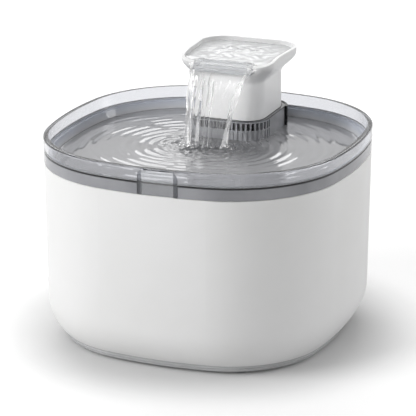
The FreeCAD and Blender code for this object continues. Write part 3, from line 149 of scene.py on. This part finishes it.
# Feet of the housing and of the pump, seals of the riser and the bearings, all soft moulded rubber.
# Rubber is dull with a wide faint highlight.
silicone, silicone_shader = start_material("grey silicone rubber", "8E8F91", Roughness=0.6, IOR=1.43)
add_clouds(silicone, silicone_shader, "85868A", "98999B", 8)
add_grain(silicone, silicone_shader, 0.4, 0.01)
finish_nodes(silicone, "base_feet", "pump_feet", "riser_seal", "shaft_bearings")


# Screws, the shell of the power socket and the laminated core of the motor are plated or bare steel.
# Fine turning and rolling marks stretch the highlight.
steel, steel_shader = start_material("plated steel", "A9AAAD", Metallic=1.0, Roughness=0.3)
add_clouds(steel, steel_shader, "9C9DA0", "B4B5B8", 3)
add_grain(steel, steel_shader, 0.25, 0.01, 0.5)
finish_nodes(steel, "base_screws", "power_inlet", "stator_core")


# Control board, glass fibre laminate under a green solder mask.
# The mask is glossy and a little uneven over the copper below.
solder_mask, mask_shader = start_material("green solder mask", "1E5A38", Roughness=0.25, IOR=1.5)
add_clouds(solder_mask, mask_shader, "1A5232", "24683F", 5)
add_grain(solder_mask, mask_shader, 0.8, 0.02)
finish_nodes(solder_mask, "control_board")


# Coils of enamelled copper wire, one under the floor, one in the tank and one on the motor.
# The wires lie side by side, so fine ridges 0.6 mm apart run round each coil.
enamelled_copper, copper_shader = start_material("enamelled copper wire", "B0683A", Metallic=0.9,
                                                 Roughness=0.32)
add_clouds(enamelled_copper, copper_shader, "A35C30", "BD7444", 4)
add_lines(enamelled_copper, copper_shader, 0.6, 0.1, wave_type="RINGS", rings_direction="Z")
finish_nodes(enamelled_copper, "transmitter_coil", "receiver_coil", "stator_winding")


# Ferrite of the coil's shield and of the rotor magnet, pressed and sintered.
# It is dark grey with a fine matt grain.
ferrite, ferrite_shader = start_material("sintered ferrite", "303133", Roughness=0.55)
add_clouds(ferrite, ferrite_shader, "2A2B2D", "38393B", 3)
add_grain(ferrite, ferrite_shader, 0.3, 0.02)
finish_nodes(ferrite, "coil_shield", "rotor_magnet")


# Tank of smoke tinted SAN, clear enough to see the water level, hung in the housing by its top band.
# Only the band shows. Fine drawn lines from the mould run round it.
smoke_san, san_shader = start_material("smoke tinted SAN", "A3A4A9", Roughness=0.16, IOR=1.57,
                                       Transmission_Weight=0.25)
add_clouds(smoke_san, san_shader, "98999E", "AFB0B5", 25)
add_lines(smoke_san, san_shader, 0.9, 0.03, 0.5, {"Distortion": 1.5}, bands_direction="Z")
finish_nodes(smoke_san, "water_tank")


# Pump housing, its volute cover and the strainer, moulded in black ABS with a satin face.
# It is seen only when the tank is lifted or cut open.
black_abs, black_shader = start_material("satin black ABS", "26272A", Roughness=0.4, IOR=1.53)
add_clouds(black_abs, black_shader, "222326", "2D2E31", 20)
add_grain(black_abs, black_shader, 0.5, 0.02)
finish_nodes(black_abs, "pump_housing", "pump_volute", "inlet_strainer")


# Sponge behind the strainer, open cell polyurethane foam with cells of about 1 mm.
# The cells swallow light, and their hollows are painted dark between the walls as painted shade; the surface
# is rough.
foam, foam_shader = start_material("open cell foam", "2B2C2F", Roughness=0.95)
foam_place = add_node(foam, "TexCoord")
foam_cells = add_node(foam, "TexVoronoi", {"Scale": 1 / (1.1 * MM)},
                      {"Vector": foam_place.outputs["Object"]})
# Painted shade: the hollows of the cells are darkest, the walls between them lighter.
foam_cell_shade = add_node(foam, "ValToRGB", None, {"Fac": foam_cells.outputs["Distance"]})
foam_cell_shade.color_ramp.elements[0].color = linear("0D0D0E")
foam_cell_shade.color_ramp.elements[1].color = linear("47484C")
foam_bump = add_node(foam, "Bump", {"Distance": 0.5 * MM}, {"Height": foam_cells.outputs["Distance"]})
foam.node_tree.links.new(foam_cell_shade.outputs["Color"], foam_shader.inputs["Base Color"])
foam.node_tree.links.new(foam_bump.outputs["Normal"], foam_shader.inputs["Normal"])
finish_nodes(foam, "pump_sponge")


# Impeller of natural acetal on a ceramic pin.
# Both are white, the acetal a little waxy and the ground pin glossy.
acetal, acetal_shader = start_material("natural acetal", "EDEDE8", Roughness=0.35, IOR=1.48,
                                       Subsurface_Weight=0.1, Subsurface_Scale=0.002)
add_clouds(acetal, acetal_shader, "E8E8E2", "F1F1ED", 6)
add_grain(acetal, acetal_shader, 0.4, 0.01)
finish_nodes(acetal, "impeller")
ceramic, ceramic_shader = start_material("ground ceramic", "F0EFEA", Roughness=0.15, IOR=1.7)
add_clouds(ceramic, ceramic_shader, "EBEAE4", "F4F3EF", 2)
add_grain(ceramic, ceramic_shader, 0.2, 0.003)
finish_nodes(ceramic, "impeller_shaft")


# Drinking tray, one clear copolyester moulding: a clear rim, a bluish ledge inside it and a smoked basin.
# The tint follows the height, because the basin is thick and lies over the dark tank while the rim is free.
clear_tray, tray_shader = start_material("clear copolyester", "E9EAEF", Roughness=0.04, IOR=1.5,
                                         Transmission_Weight=1.0)
tray_place = add_node(clear_tray, "TexCoord")
tray_axes = add_node(clear_tray, "SeparateXYZ", None, {"Vector": tray_place.outputs["Object"]})
rim_foot_z, rim_clear_z = 119.0 * MM, 119.4 * MM
tray_clear = add_node(clear_tray, "MapRange",
                      {"From Min": rim_foot_z, "From Max": rim_clear_z, "To Min": 0.12, "To Max": 1.0},
                      {"Value": tray_axes.outputs["Z"]})
tint_low_z, tint_high_z = 105 * MM, 121 * MM
tray_height = add_node(clear_tray, "MapRange", {"From Min": tint_low_z, "From Max": tint_high_z},
                       {"Value": tray_axes.outputs["Z"]})
tray_tint = add_node(clear_tray, "ValToRGB", None, {"Fac": tray_height.outputs["Result"]})
tray_tint.color_ramp.elements[0].color = linear("DEDFE2")
tray_tint.color_ramp.elements[0].position = 0.5
tray_tint.color_ramp.elements[1].color = linear("DEDFE3")
tray_tint.color_ramp.elements[1].position = 0.88
tray_ledge = tray_tint.color_ramp.elements.new(0.8)
tray_ledge.color = linear("C9CEDA")
clear_tray.node_tree.links.new(tray_tint.outputs["Color"], tray_shader.inputs["Base Color"])
clear_tray.node_tree.links.new(tray_clear.outputs["Result"], tray_shader.inputs["Transmission Weight"])
add_grain(clear_tray, tray_shader, 9.0, 0.01, 0.3)
finish_nodes(clear_tray, "drinking_tray")


# Black seal under the rim of the tray, an extruded silicone cord.
# It is deep black with a soft shine, and draws one dark line round the fountain.
black_rubber, rubber_shader = start_material("black silicone rubber", "0B0B0D", Roughness=0.35, IOR=1.43)
add_clouds(black_rubber, rubber_shader, "080809", "111113", 12)
add_grain(black_rubber, rubber_shader, 0.5, 0.01)
finish_nodes(black_rubber, "tray_gasket")


# Front tab, a clear SAN frame with two legs and a thin plate, let into the front of the rim.
# Its legs are painted darker grey than its face, a painted shade for the dark that light crossing the thick
# clear plastic shows there.
clear_grip, grip_shader = start_material("clear grip SAN", "F8F9FA", Roughness=0.06, IOR=1.5,
                                         Transmission_Weight=0.95)
grip_place = add_node(clear_grip, "TexCoord")
grip_axes = add_node(clear_grip, "SeparateXYZ", None, {"Vector": grip_place.outputs["Object"]})
tab_x, leg_from_x, leg_full_x = 4.7 * MM, 9.7 * MM, 10.2 * MM
grip_offset = add_node(clear_grip, "Math", {1: -tab_x}, {0: grip_axes.outputs["X"]}, operation="ADD")
grip_side = add_node(clear_grip, "Math", None, {0: grip_offset.outputs[0]}, operation="ABSOLUTE")
# Painted shade: the legs are darker grey than the face.
grip_leg_shade = add_node(clear_grip, "MapRange", {"From Min": leg_from_x, "From Max": leg_full_x},
                    {"Value": grip_side.outputs[0]})
grip_painted_shade = add_node(clear_grip, "ValToRGB", None, {"Fac": grip_leg_shade.outputs["Result"]})
grip_painted_shade.color_ramp.elements[0].color = linear("F8F9FA")
grip_painted_shade.color_ramp.elements[1].color = linear("A9ABB0")
clear_grip.node_tree.links.new(grip_painted_shade.outputs["Color"], grip_shader.inputs["Base Color"])
add_grain(clear_grip, grip_shader, 6.0, 0.02, 0.4)
finish_nodes(clear_grip, "front_tab")


# Filter cup under the tray, the drain collar round the tower and the riser, in dark smoke SAN.
# The collar is grey where light gets through it, and is painted nearly black along its upper edge, a painted
# shadow in the gap under the tower.
dark_smoke, smoke_shader = start_material("dark smoke SAN", "98999D", Roughness=0.14, IOR=1.57,
                                          Transmission_Weight=0.15)
add_clouds(dark_smoke, smoke_shader, "9A9B9F", "ACADB1", 14)
smoke_place = add_node(dark_smoke, "TexCoord")
smoke_axes = add_node(dark_smoke, "SeparateXYZ", None, {"Vector": smoke_place.outputs["Object"]})
# Painted shadow: the colour turns dark grey from 124.9 mm up to 125.4 mm of height, under the tower.
shade_from_z, shade_full_z = 124.9 * MM, 125.4 * MM
smoke_painted_shade = add_node(dark_smoke, "MapRange", {"From Min": shade_from_z, "From Max": shade_full_z},
                      {"Value": smoke_axes.outputs["Z"]})
smoke_clouds = smoke_shader.inputs["Base Color"].links[0].from_socket
smoke_shade_mix = add_node(dark_smoke, "MixRGB", {"Color2": linear("4A4B4F")},
                     {"Fac": smoke_painted_shade.outputs["Result"], "Color1": smoke_clouds})
dark_smoke.node_tree.links.new(smoke_shade_mix.outputs["Color"], smoke_shader.inputs["Base Color"])
add_grain(dark_smoke, smoke_shader, 2.0, 0.02, 0.4)
finish_nodes(dark_smoke, "filter_cup", "drain_collar", "riser_tube")


# Clip round the back of the collar, glossy black ABS.
# Its polished mould gives it sharp white highlights.
gloss_black, gloss_shader = start_material("gloss black ABS", "0E0F11", Roughness=0.15, IOR=1.53,
                                           Specular_IOR_Level=0.2)
add_clouds(gloss_black, gloss_shader, "0E0F11", "16171A", 20)
add_grain(gloss_black, gloss_shader, 3.0, 0.01, 0.3)
finish_nodes(gloss_black, "collar_clip")


# Filter media, needled polyester fibre with active carbon behind it.
# Short fibres lie at random, so it is pale, dull and speckled.
fibre, fibre_shader = start_material("needled filter fibre", "C9C8C2", Roughness=0.9)
fibre_place = add_node(fibre, "TexCoord")
fibre_noise = add_node(fibre, "TexNoise", {"Scale": 1 / (0.7 * MM), "Detail": 6.0, "Distortion": 2.0},
                       {"Vector": fibre_place.outputs["Object"]})
fibre_ramp = add_node(fibre, "ValToRGB", None, {"Fac": fibre_noise.outputs["Fac"]})
fibre_ramp.color_ramp.elements[0].color = linear("8F8E88")
fibre_ramp.color_ramp.elements[1].color = linear("E4E3DE")
fibre_bump = add_node(fibre, "Bump", {"Distance": 0.4 * MM}, {"Height": fibre_noise.outputs["Fac"]})
fibre.node_tree.links.new(fibre_ramp.outputs["Color"], fibre_shader.inputs["Base Color"])
fibre.node_tree.links.new(fibre_bump.outputs["Normal"], fibre_shader.inputs["Normal"])
finish_nodes(fibre, "filter_media")


# White tower with its flared head, and the water pipe inside it, the same ABS with a smoother finish.
# Smoother than the housing, so the shade runs across it in soft upright bands.
smooth_abs, smooth_shader = start_material("smooth white ABS", "EFEFEF", Roughness=0.34, IOR=1.53,
                                           Specular_IOR_Level=0.35)
add_clouds(smooth_abs, smooth_shader, "EDEDED", "F1F1F1", 40)
add_grain(smooth_abs, smooth_shader, 0.8, 0.004, 0.4)
finish_nodes(smooth_abs, "spout_tower", "tower_pipe")


# Lip over the front edge of the head and the diffuser over the pipe, clear SAN.
# Clear under a film of water, with low moulded steps that draw light and dark lines across it.
# Its grey colour is painted shade, in place of the shadow of the water sheet, which casts none.
clear_lip, lip_shader = start_material("clear lip SAN", "C6C8CB", Roughness=0.04, IOR=1.5,
                                       Transmission_Weight=0.35)
add_lines(clear_lip, lip_shader, 1.9, 0.5, wave_values={"Distortion": 0.4, "Detail": 1.0},
          bands_direction="Y")
finish_nodes(clear_lip, "spout_lip", "flow_diffuser")


# Water in the tray, a thin closed skin with rings round the points where the streams land.
# The streams beat fine air into it, so it is milky and hides the bottom. Its colour is painted darker
# towards where they land: partly the dark collar and tank seen through the stirred water, partly painted
# shade and painted reflection for the tower's shadow and the dark collar mirrored in it. Its mirroring
# is set stronger than still water's, because its small waves also catch the light.
water_level = 113.5
stir_x, stir_y, stir_height, stir_fade = -3.0, 5.0, 0.6, 24
aerated_water, aerated_shader = start_material("aerated water", "B6B7BA", Roughness=0.02, IOR=1.6,
                                               Transmission_Weight=0.35, Specular_IOR_Level=0.7)
add_grain(aerated_water, aerated_shader, 6.0, 0.09, 0.5)
water_place = add_node(aerated_water, "TexCoord")
# Painted shade and painted reflection: the colour darkens towards this middle, partly the dark collar and
# tank seen through.
dark_middle = (-1 * MM, 6 * MM, water_level * MM)
dark_radius, pale_radius = 10 * MM, 46 * MM
shade_away = add_node(aerated_water, "VectorMath", {1: dark_middle}, {0: water_place.outputs["Object"]},
                    operation="DISTANCE")
shade_share = add_node(aerated_water, "MapRange", {"From Min": dark_radius, "From Max": pale_radius},
                     {"Value": shade_away.outputs["Value"]})
painted_shade_tint = add_node(aerated_water, "ValToRGB", None, {"Fac": shade_share.outputs["Result"]})
painted_shade_tint.color_ramp.elements[0].color = linear("7C7D80")
painted_shade_tint.color_ramp.elements[1].color = linear("B0B1B4")
aerated_water.node_tree.links.new(painted_shade_tint.outputs["Color"], aerated_shader.inputs["Base Color"])


def clear_selection():
    """Leaves edit mode with nothing selected, before the next piece."""
    if bpy.context.object and bpy.context.object.mode == "EDIT":
        bpy.ops.object.mode_set(mode="OBJECT")
    bpy.ops.object.select_all(action="DESELECT")


def water_disc(name, material, centre, reach, rings, spokes, height, thickness):
    """A closed skin of water from a small disc, extruded ring by ring out to its edge."""
    clear_selection()
    bpy.ops.mesh.primitive_circle_add(vertices=spokes, radius=MM, fill_type="TRIFAN")
    disc = bpy.context.object
    disc.name = name
    bpy.ops.object.mode_set(mode="EDIT")
    bpy.ops.mesh.select_mode(type="EDGE")
    bpy.ops.mesh.select_all(action="SELECT")
    bpy.ops.mesh.region_to_loop()
    for ring in range(1, rings):
        bpy.ops.mesh.extrude_edges_move()
        bpy.ops.transform.resize(value=((ring + 1) / ring, (ring + 1) / ring, 1))
    bpy.ops.object.mode_set(mode="OBJECT")
    for point in disc.data.vertices:
        share = math.hypot(point.co.x, point.co.y) / (rings * MM)
        angle = math.atan2(point.co.y, point.co.x)
        far = reach(centre, angle) * share
        x = centre[0] + far * math.cos(angle)
        y = centre[1] + far * math.sin(angle)
        point.co = (x, y, height(x, y))
    skin = disc.modifiers.new("skin", "SOLIDIFY")
    skin.thickness = thickness
    skin.offset = -1
    bpy.ops.object.modifier_apply(modifier="skin")
    bpy.ops.object.shade_smooth()
    disc.data.materials.append(material)
    return disc


def border_reach(start, angle, longest, is_inside):
    """How far a border is from a point, in the direction of an angle, by halving."""
    near, far = 0.0, longest
    for _ in range(26):
        middle = (near + far) / 2
        x = (start[0] + middle * math.cos(angle)) / MM
        y = (start[1] + middle * math.sin(angle)) / MM
        if is_inside(x, y):
            near = middle
        else:
            far = middle
    return near


def inside_tray(x, y):
    """Whether a point is inside the tray's wall, whose plan is a wide arc on each side and corner."""
    side_radius, side_middle = 224, 129
    corner_radius, corner_middle = 70, 23.24
    wall_inset, side_angle = 7.2, 20.08
    x, y = max(abs(x), abs(y)), min(abs(x), abs(y))
    if y < x * math.tan(math.radians(side_angle)):
        return math.hypot(x + side_middle, y) < side_radius - wall_inset
    return math.hypot(x - corner_middle, y - corner_middle) < corner_radius - wall_inset


def tray_reach(start, angle):
    """How far the tray's inner wall is from a point, in the direction of an angle."""
    return border_reach(start, angle, 0.14, inside_tray)


# For each landing point, its place, and the height, the spacing and the fading length of its rings.
# The two cords of water land at the first two.
landings = [(-14.7, -0.5, 0.48, 6.2, 27.0), (8.5, 3.0, 0.5, 5.8, 22.0), (stir_x, stir_y, 0.46, 7.4, 32.0)]


def tray_ripple(x, y):
    """Height of the tray's water with the rings of the three landing points added up."""
    x, y = x / MM, y / MM
    z = water_level
    for land_x, land_y, size, length, fade in landings:
        away = math.hypot(x - land_x, y - land_y)
        z += size * math.exp(-away / fade) * math.cos(2 * math.pi * away / length)
    away = math.hypot(x - stir_x, y - stir_y)
    stir = math.sin(x * 1.1 + math.sin(y * 0.5) * 2) * math.sin(y * 1.3 + math.sin(x * 0.4) * 2)
    return (z + stir_height * stir * math.exp(-(away / stir_fade) ** 2)) * MM


tray_water = water_disc("tray_water", aerated_water, (-3 * MM, 2 * MM), tray_reach, 150, 180,
                        tray_ripple, 0.5 * MM)
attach(tray_water, "tray")


# Water in the head, welling up over the pipe and standing just above the crest of the lip.
# The pump stirs it, so low humps cross it with no fixed pattern, and it is white over the white head.
welling_water, welling_shader = start_material("welling water", "FAFBFC", Roughness=0.02, IOR=1.333,
                                               Transmission_Weight=0.5)
add_grain(welling_water, welling_shader, 4.0, 0.2, 0.6)
pipe_y = 49.5
head_level = 161.85


def inside_head(x, y):
    """Whether a point is inside the head's wall and behind the crest of the lip."""
    front_y, lip_y, back_y = 25.1, 28.3, 79.2
    front_half, back_half, lip_half = 28.1, 30.8, 19.5
    front_corner, back_corner = 7.0, 15.0
    x = abs(x)
    half = front_half + (back_half - front_half) * (y - front_y) / (back_y - front_y)
    if x >= half or y >= back_y or y <= (lip_y if x < lip_half else front_y):
        return False
    for corner, outward in ((back_corner, y - back_y + back_corner),
                            (front_corner, front_y + front_corner - y)):
        if x > half - corner and outward > 0 and math.hypot(x - half + corner, outward) >= corner:
            return False
    return True


def head_reach(start, angle):
    """How far the border of the head's water is from a point, in the direction of an angle."""
    return border_reach(start, angle, 0.08, inside_head)


def head_ripple(x, y):
    """Height of the head's water, humped over the diffuser and a little lower at the front corners."""
    x, y = x / MM, y / MM
    away = math.hypot(x, y - pipe_y)
    hump = 0.7 * math.exp(-(away / 11) ** 2)
    warp_x = x + 2.4 * math.sin(y * 0.31)
    warp_y = y + 2.0 * math.sin(x * 0.37 + 0.6)
    stir = 0.3 * math.sin(warp_x * 0.62 + 1.1) * math.sin(warp_y * 0.55)
    stir += 0.1 * math.sin(warp_x * 1.2 - warp_y * 0.5)
    corner_drop = 0.14 * max(0, 30 - y)
    return (head_level + hump + stir * math.exp(-(away / 26) ** 2) - corner_drop) * MM


head_water = water_disc("head_water", welling_water, (0, pipe_y * MM), head_reach, 40, 120,
                        head_ripple, 0.5 * MM)
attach(head_water, "tower")


# Sheet of water that leaves the lip and falls into the tray, drawn in as it falls.
# It is a clear film, smooth behind and ridged in front, so upright streaks catch the light.
# It casts no shadow, because real water passes the light on.
water, water_shader = start_material("clear water", "FFFFFF", Roughness=0.0, IOR=1.333,
                                     Transmission_Weight=1.0)
add_grain(water, water_shader, 5.0, 0.1, 0.4)
lip_share = 0.14
crest_y, crest_z = 28.2, 161.9
edge_y, edge_z = 19.4, 157.7
sheet_half = 18.4


def fall_point(down, across):
    """A point of the falling sheet, for a share of the fall and a share of the width."""
    if down < lip_share:
        along = down / lip_share
        y = crest_y - (crest_y - edge_y) * along
        z = crest_z - (crest_z - edge_z) * along ** 1.4
        half_left, half_right = sheet_half, sheet_half
    else:
        time = (down - lip_share) / (1 - lip_share)
        y = edge_y - (18.2 - 1.7 * across) * time
        z = edge_z - 12.5 * time - 31.8 * time * time
        half_left = sheet_half - 3.6 * time ** 0.8
        half_right = sheet_half - 9.9 * time ** 0.75
    x = -half_left if across < 0 else half_right
    return x * abs(across) * MM, y * MM, z * MM


def fall_ridge(down, across):
    """Height of the streaks on the front of the sheet, strongest on its left part."""
    left = math.exp(-((across + 0.62) / 0.4) ** 2)
    ridge = 0.5 * left * (1 + math.sin(across * 19 + 1.5 * down)) + 0.16 * math.sin(across * 34 - 4 * down)
    fold = 1.3 * math.exp(-((across - 0.42) / 0.2) ** 2 - ((down - 0.52) / 0.13) ** 2)
    return (ridge + fold * math.sin(across * 11 + down * 9)) * min(1, down * 2.5) * MM


clear_selection()
bpy.ops.mesh.primitive_grid_add(x_subdivisions=110, y_subdivisions=80, size=2)
sheet = bpy.context.object
sheet.name = "water_sheet"
places = []
for point in sheet.data.vertices:
    across, down = point.co.x, (1 - point.co.y) / 2
    places.append((down, across))
    point.co = fall_point(down, across)
film = sheet.modifiers.new("film", "SOLIDIFY")
film.thickness = 0.6 * MM
film.offset = -1
bpy.ops.object.modifier_apply(modifier="film")
# The thickened sheet has two copies of the grid's points, and the streaks go on the front one.
front = 0 if sheet.data.vertices[0].co.y < sheet.data.vertices[len(places)].co.y else len(places)
for index, place in enumerate(places):
    sheet.data.vertices[front + index].co.y -= fall_ridge(*place)
bpy.ops.object.mode_set(mode="EDIT")
bpy.ops.mesh.select_all(action="SELECT")
bpy.ops.mesh.normals_make_consistent(inside=False)
bpy.ops.object.mode_set(mode="OBJECT")
bpy.ops.object.shade_smooth()
sheet.data.materials.append(water)
sheet.visible_shadow = False
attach(sheet, "tower")
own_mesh(sheet)


# The two cords of water along the edges of the sheet, where it gathers as it falls.
# Each is a rope of clear water a few millimetres thick, with a bead at the lip and a twist below it.
cord_water, cord_shader = start_material("water with some air", "FFFFFF", Roughness=0.0, IOR=1.4,
                                         Transmission_Weight=0.8)
add_grain(cord_water, cord_shader, 3.0, 0.15, 0.5)


def water_rope(name, path, radii, flat):
    """A closed tube of water, extruded ring by ring along its path, then flattened on a slow twist."""
    sides = 16
    clear_selection()
    bpy.ops.mesh.primitive_circle_add(vertices=sides, radius=MM, fill_type="NGON")
    rope = bpy.context.object
    rope.name = name
    bpy.ops.object.mode_set(mode="EDIT")
    bpy.ops.mesh.select_all(action="SELECT")
    for step in range(1, len(path)):
        bpy.ops.mesh.extrude_region_move(TRANSFORM_OT_translate={"value": (0, 0, -MM)})
    bpy.ops.object.mode_set(mode="OBJECT")
    for point in rope.data.vertices:
        step = round(-point.co.z / MM)
        angle = math.atan2(point.co.y, point.co.x)
        radius = radii[step] * (1 + flat * math.cos(2 * angle - 0.34 * step))
        x, y, z = path[step]
        point.co = ((x + radius * math.cos(angle)) * MM, (y + radius * math.sin(angle)) * MM, z * MM)
    bpy.ops.object.mode_set(mode="EDIT")
    bpy.ops.mesh.select_all(action="SELECT")
    bpy.ops.mesh.normals_make_consistent(inside=False)
    bpy.ops.object.mode_set(mode="OBJECT")
    round_off = rope.modifiers.new("round", "SUBSURF")
    round_off.levels = round_off.render_levels = 1
    bpy.ops.object.modifier_apply(modifier="round")
    bpy.ops.object.shade_smooth()
    rope.data.materials.append(cord_water)
    return rope


cord_half, cord_y, cord_z = 18.8, 19.6, 157.8
for name, side, narrow, power, land_y in (("left_stream", -1, 4.0, 0.8, -0.5),
                                          ("right_stream", 1, 10.4, 0.75, 3.0)):
    path, radii = [], []
    for step in range(37):
        time = max(0, (step - 4) / 32)
        rise = max(0, 4 - step)
        path.append((side * (cord_half - narrow * time ** power),
                     cord_y + rise * 1.9 - (cord_y - land_y) * time,
                     cord_z + rise * 0.95 - 12.5 * time - 31.4 * time * time))
        bead = 1.0 * math.exp(-((step - 2.2) / 1.6) ** 2)
        radii.append((0.8 if step == 0 else 1.6) + bead + 0.14 * math.sin(step * 0.95) + 0.1 * time)
    rope = water_rope(name, path, radii, 0.28)
    rope.visible_shadow = False
    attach(rope, "tower")
    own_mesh(rope)


# Thin runs of water on the left part of the sheet and in front of the collar, full of fine air.
# They are the white upright streaks, each about a millimetre thick.
foam_water, foam_water_shader = start_material("water with fine air", "FFFFFF", Roughness=0.05, IOR=1.333,
                                               Transmission_Weight=0.55)
add_grain(foam_water, foam_water_shader, 1.5, 0.1, 0.5)
runs = []
for number, across in enumerate((-0.82, -0.62, -0.5, -0.31, -0.12)):
    path, radii = [], []
    for step in range(34):
        down = 0.24 + 0.76 * step / 33 if number % 2 else 0.36 + 0.64 * step / 33
        x, y, z = fall_point(down, across + 0.02 * math.sin(step * 0.35 + number))
        path.append((x / MM, y / MM - 0.5, z / MM))
        swell = 0.42 * math.sin(math.pi * min(1, (step + 1) / 22))
        radii.append(0.15 + swell + 0.08 * math.sin(step * 0.7 + number))
    runs.append(water_rope("run_" + str(number), path, radii, 0.2))
clear_selection()
for run in runs:
    run.data.materials.clear()
    run.data.materials.append(foam_water)
    run.select_set(True)
bpy.context.view_layer.objects.active = runs[0]
bpy.ops.object.join()
runs[0].name = "white_runs"
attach(runs[0], "tower")
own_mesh(runs[0])


# Drops thrown up where the two cords of water land in the tray.
# Each is a small bead of clear water, a little flattened, and the largest is 2 mm across.
drops = []
for number in range(26):
    land_x, land_y = landings[number % 2][:2]
    turn = number * 2.4
    away = 1.2 + 0.28 * number
    radius = 0.85 - 0.02 * number
    high = water_level + 0.2 + radius * 0.5 + 1.7 * abs(math.sin(number * 1.7)) * math.exp(-number / 12)
    clear_selection()
    bpy.ops.mesh.primitive_uv_sphere_add(segments=12, ring_count=8, radius=radius * MM)
    drop = bpy.context.object
    bpy.ops.object.mode_set(mode="EDIT")
    bpy.ops.mesh.select_all(action="SELECT")
    bpy.ops.transform.resize(value=(1.25, 1.0, 0.85))
    x, y = land_x + away * math.cos(turn), land_y + away * math.sin(turn)
    bpy.ops.transform.translate(value=(x * MM, y * MM, high * MM))
    bpy.ops.object.mode_set(mode="OBJECT")
    bpy.ops.object.shade_smooth()
    drop.data.materials.append(water)
    drops.append(drop)
clear_selection()
for drop in drops:
    drop.select_set(True)
bpy.context.view_layer.objects.active = drops[0]
bpy.ops.object.join()
drops[0].name = "splash_drops"
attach(drops[0], "tray")


# Studio: a plain pale floor, a soft white surround and four square lamps, the strongest at the left.
# Camera, mirror and glass rays see the surround as white up to a grey ceiling, which draws the dark
# lines in the water and the clear rim. The floor keeps the fountain's shadow, and its glow is painted
# weaker within 150 mm of the middle, a painted shadow round the base.
clear_selection()
bpy.ops.mesh.primitive_plane_add(size=14, location=(0, 0, 0))
floor = bpy.context.object
floor.name = "floor"
floor_paint = bpy.data.materials.new("pale floor")
floor_paint.use_nodes = True
floor_shader = floor_paint.node_tree.nodes["Principled BSDF"]
floor_shader.inputs["Base Color"].default_value = linear("DADADA")
floor_shader.inputs["Roughness"].default_value = 0.9
floor_shader.inputs["Specular IOR Level"].default_value = 0.0


def viewing_rays(holder):
    """Output that is 1 for the rays that look at the background, straight, mirrored or through glass."""
    seen = add_node(holder, "LightPath")
    mirrored = add_node(holder, "Math", None, {0: seen.outputs["Is Camera Ray"],
                                               1: seen.outputs["Is Glossy Ray"]}, operation="MAXIMUM")
    through = add_node(holder, "Math", None, {0: mirrored.outputs[0],
                                              1: seen.outputs["Is Transmission Ray"]}, operation="MAXIMUM")
    return through.outputs[0]


floor_place = add_node(floor_paint, "TexCoord")
floor_away = add_node(floor_paint, "VectorMath", None, {0: floor_place.outputs["Object"]},
                      operation="LENGTH")
floor_level = add_node(floor_paint, "MapRange",
                       {"From Min": 0.25, "From Max": 1.4, "To Min": 0.44, "To Max": 0.64},
                       {"Value": floor_away.outputs["Value"]})
# Painted shadow: the glow that camera, mirror and glass rays see is weaker within 150 mm of the middle.
floor_painted_shadow = add_node(floor_paint, "MapRange",
                      {"From Min": 0.09, "From Max": 0.15, "To Min": 0.08, "To Max": 1.0},
                      {"Value": floor_away.outputs["Value"]}, interpolation_type="SMOOTHSTEP")
floor_lift = add_node(floor_paint, "Math", None, {0: floor_level.outputs["Result"],
                                                  1: floor_painted_shadow.outputs["Result"]}, operation="MULTIPLY")
floor_shown = add_node(floor_paint, "Math", None, {0: viewing_rays(floor_paint), 1: floor_lift.outputs[0]},
                       operation="MULTIPLY")
floor_glow = add_node(floor_paint, "Emission", {"Color": (1, 1, 1, 1)}, {"Strength": floor_shown.outputs[0]})
floor_sum = add_node(floor_paint, "AddShader", None, {0: floor_shader.outputs["BSDF"],
                                                      1: floor_glow.outputs[0]})
floor_end = floor_paint.node_tree.nodes["Material Output"]
floor_paint.node_tree.links.new(floor_sum.outputs[0], floor_end.inputs["Surface"])
floor.data.materials.append(floor_paint)

world = bpy.data.worlds.new("white surround")
bpy.context.scene.world = world
world.use_nodes = True
world_light = world.node_tree.nodes["Background"]
world_place = add_node(world, "TexCoord")
world_axes = add_node(world, "SeparateXYZ", None, {"Vector": world_place.outputs["Generated"]})
world_side = add_node(world, "VectorMath", {1: (-0.6, 0.5, 0.5)}, {0: world_place.outputs["Generated"]},
                      operation="DOT_PRODUCT")
world_soft = add_node(world, "MapRange", {"From Min": -1.0, "To Min": 0.1, "To Max": 0.32},
                      {"Value": world_side.outputs["Value"]})
world_high = add_node(world, "MapRange",
                      {"From Min": 0.36, "From Max": 0.65, "To Min": 1.0, "To Max": 0.2},
                      {"Value": world_axes.outputs["Z"]}, interpolation_type="SMOOTHSTEP")
world_level = add_node(world, "Mix", None, {"Factor": viewing_rays(world), "A": world_soft.outputs["Result"],
                                            "B": world_high.outputs["Result"]})
world.node_tree.links.new(world_level.outputs[0], world_light.inputs["Strength"])
world_light.inputs["Color"].default_value = (1, 1, 1, 1)


def add_lamp(name, place, size, power, mirrored):
    """A square lamp that faces the middle of the fountain, and shows in its glossy faces or not."""
    bpy.ops.object.light_add(type="AREA", location=place)
    lamp = bpy.context.object
    lamp.name = name
    lamp.data.size = size
    lamp.data.energy = power
    lamp.visible_glossy = mirrored
    lamp.rotation_mode = "QUATERNION"
    lamp.rotation_quaternion = (Vector((0, 0, 0.08)) - Vector(place)).to_track_quat("-Z", "Y")


add_lamp("main_lamp", (-1.15, -1.06, 0.95), 1.0, 19, False)
add_lamp("back_lamp", (-0.6, 1.2, 1.34), 1.5, 16.5, True)
add_lamp("edge_lamp", (1.49, 0.65, 0.76), 1.0, 9, True)
add_lamp("front_lamp", (0.1, -1.6, 0.9), 1.0, 4, True)

bpy.context.scene.view_settings.view_transform = "Standard"
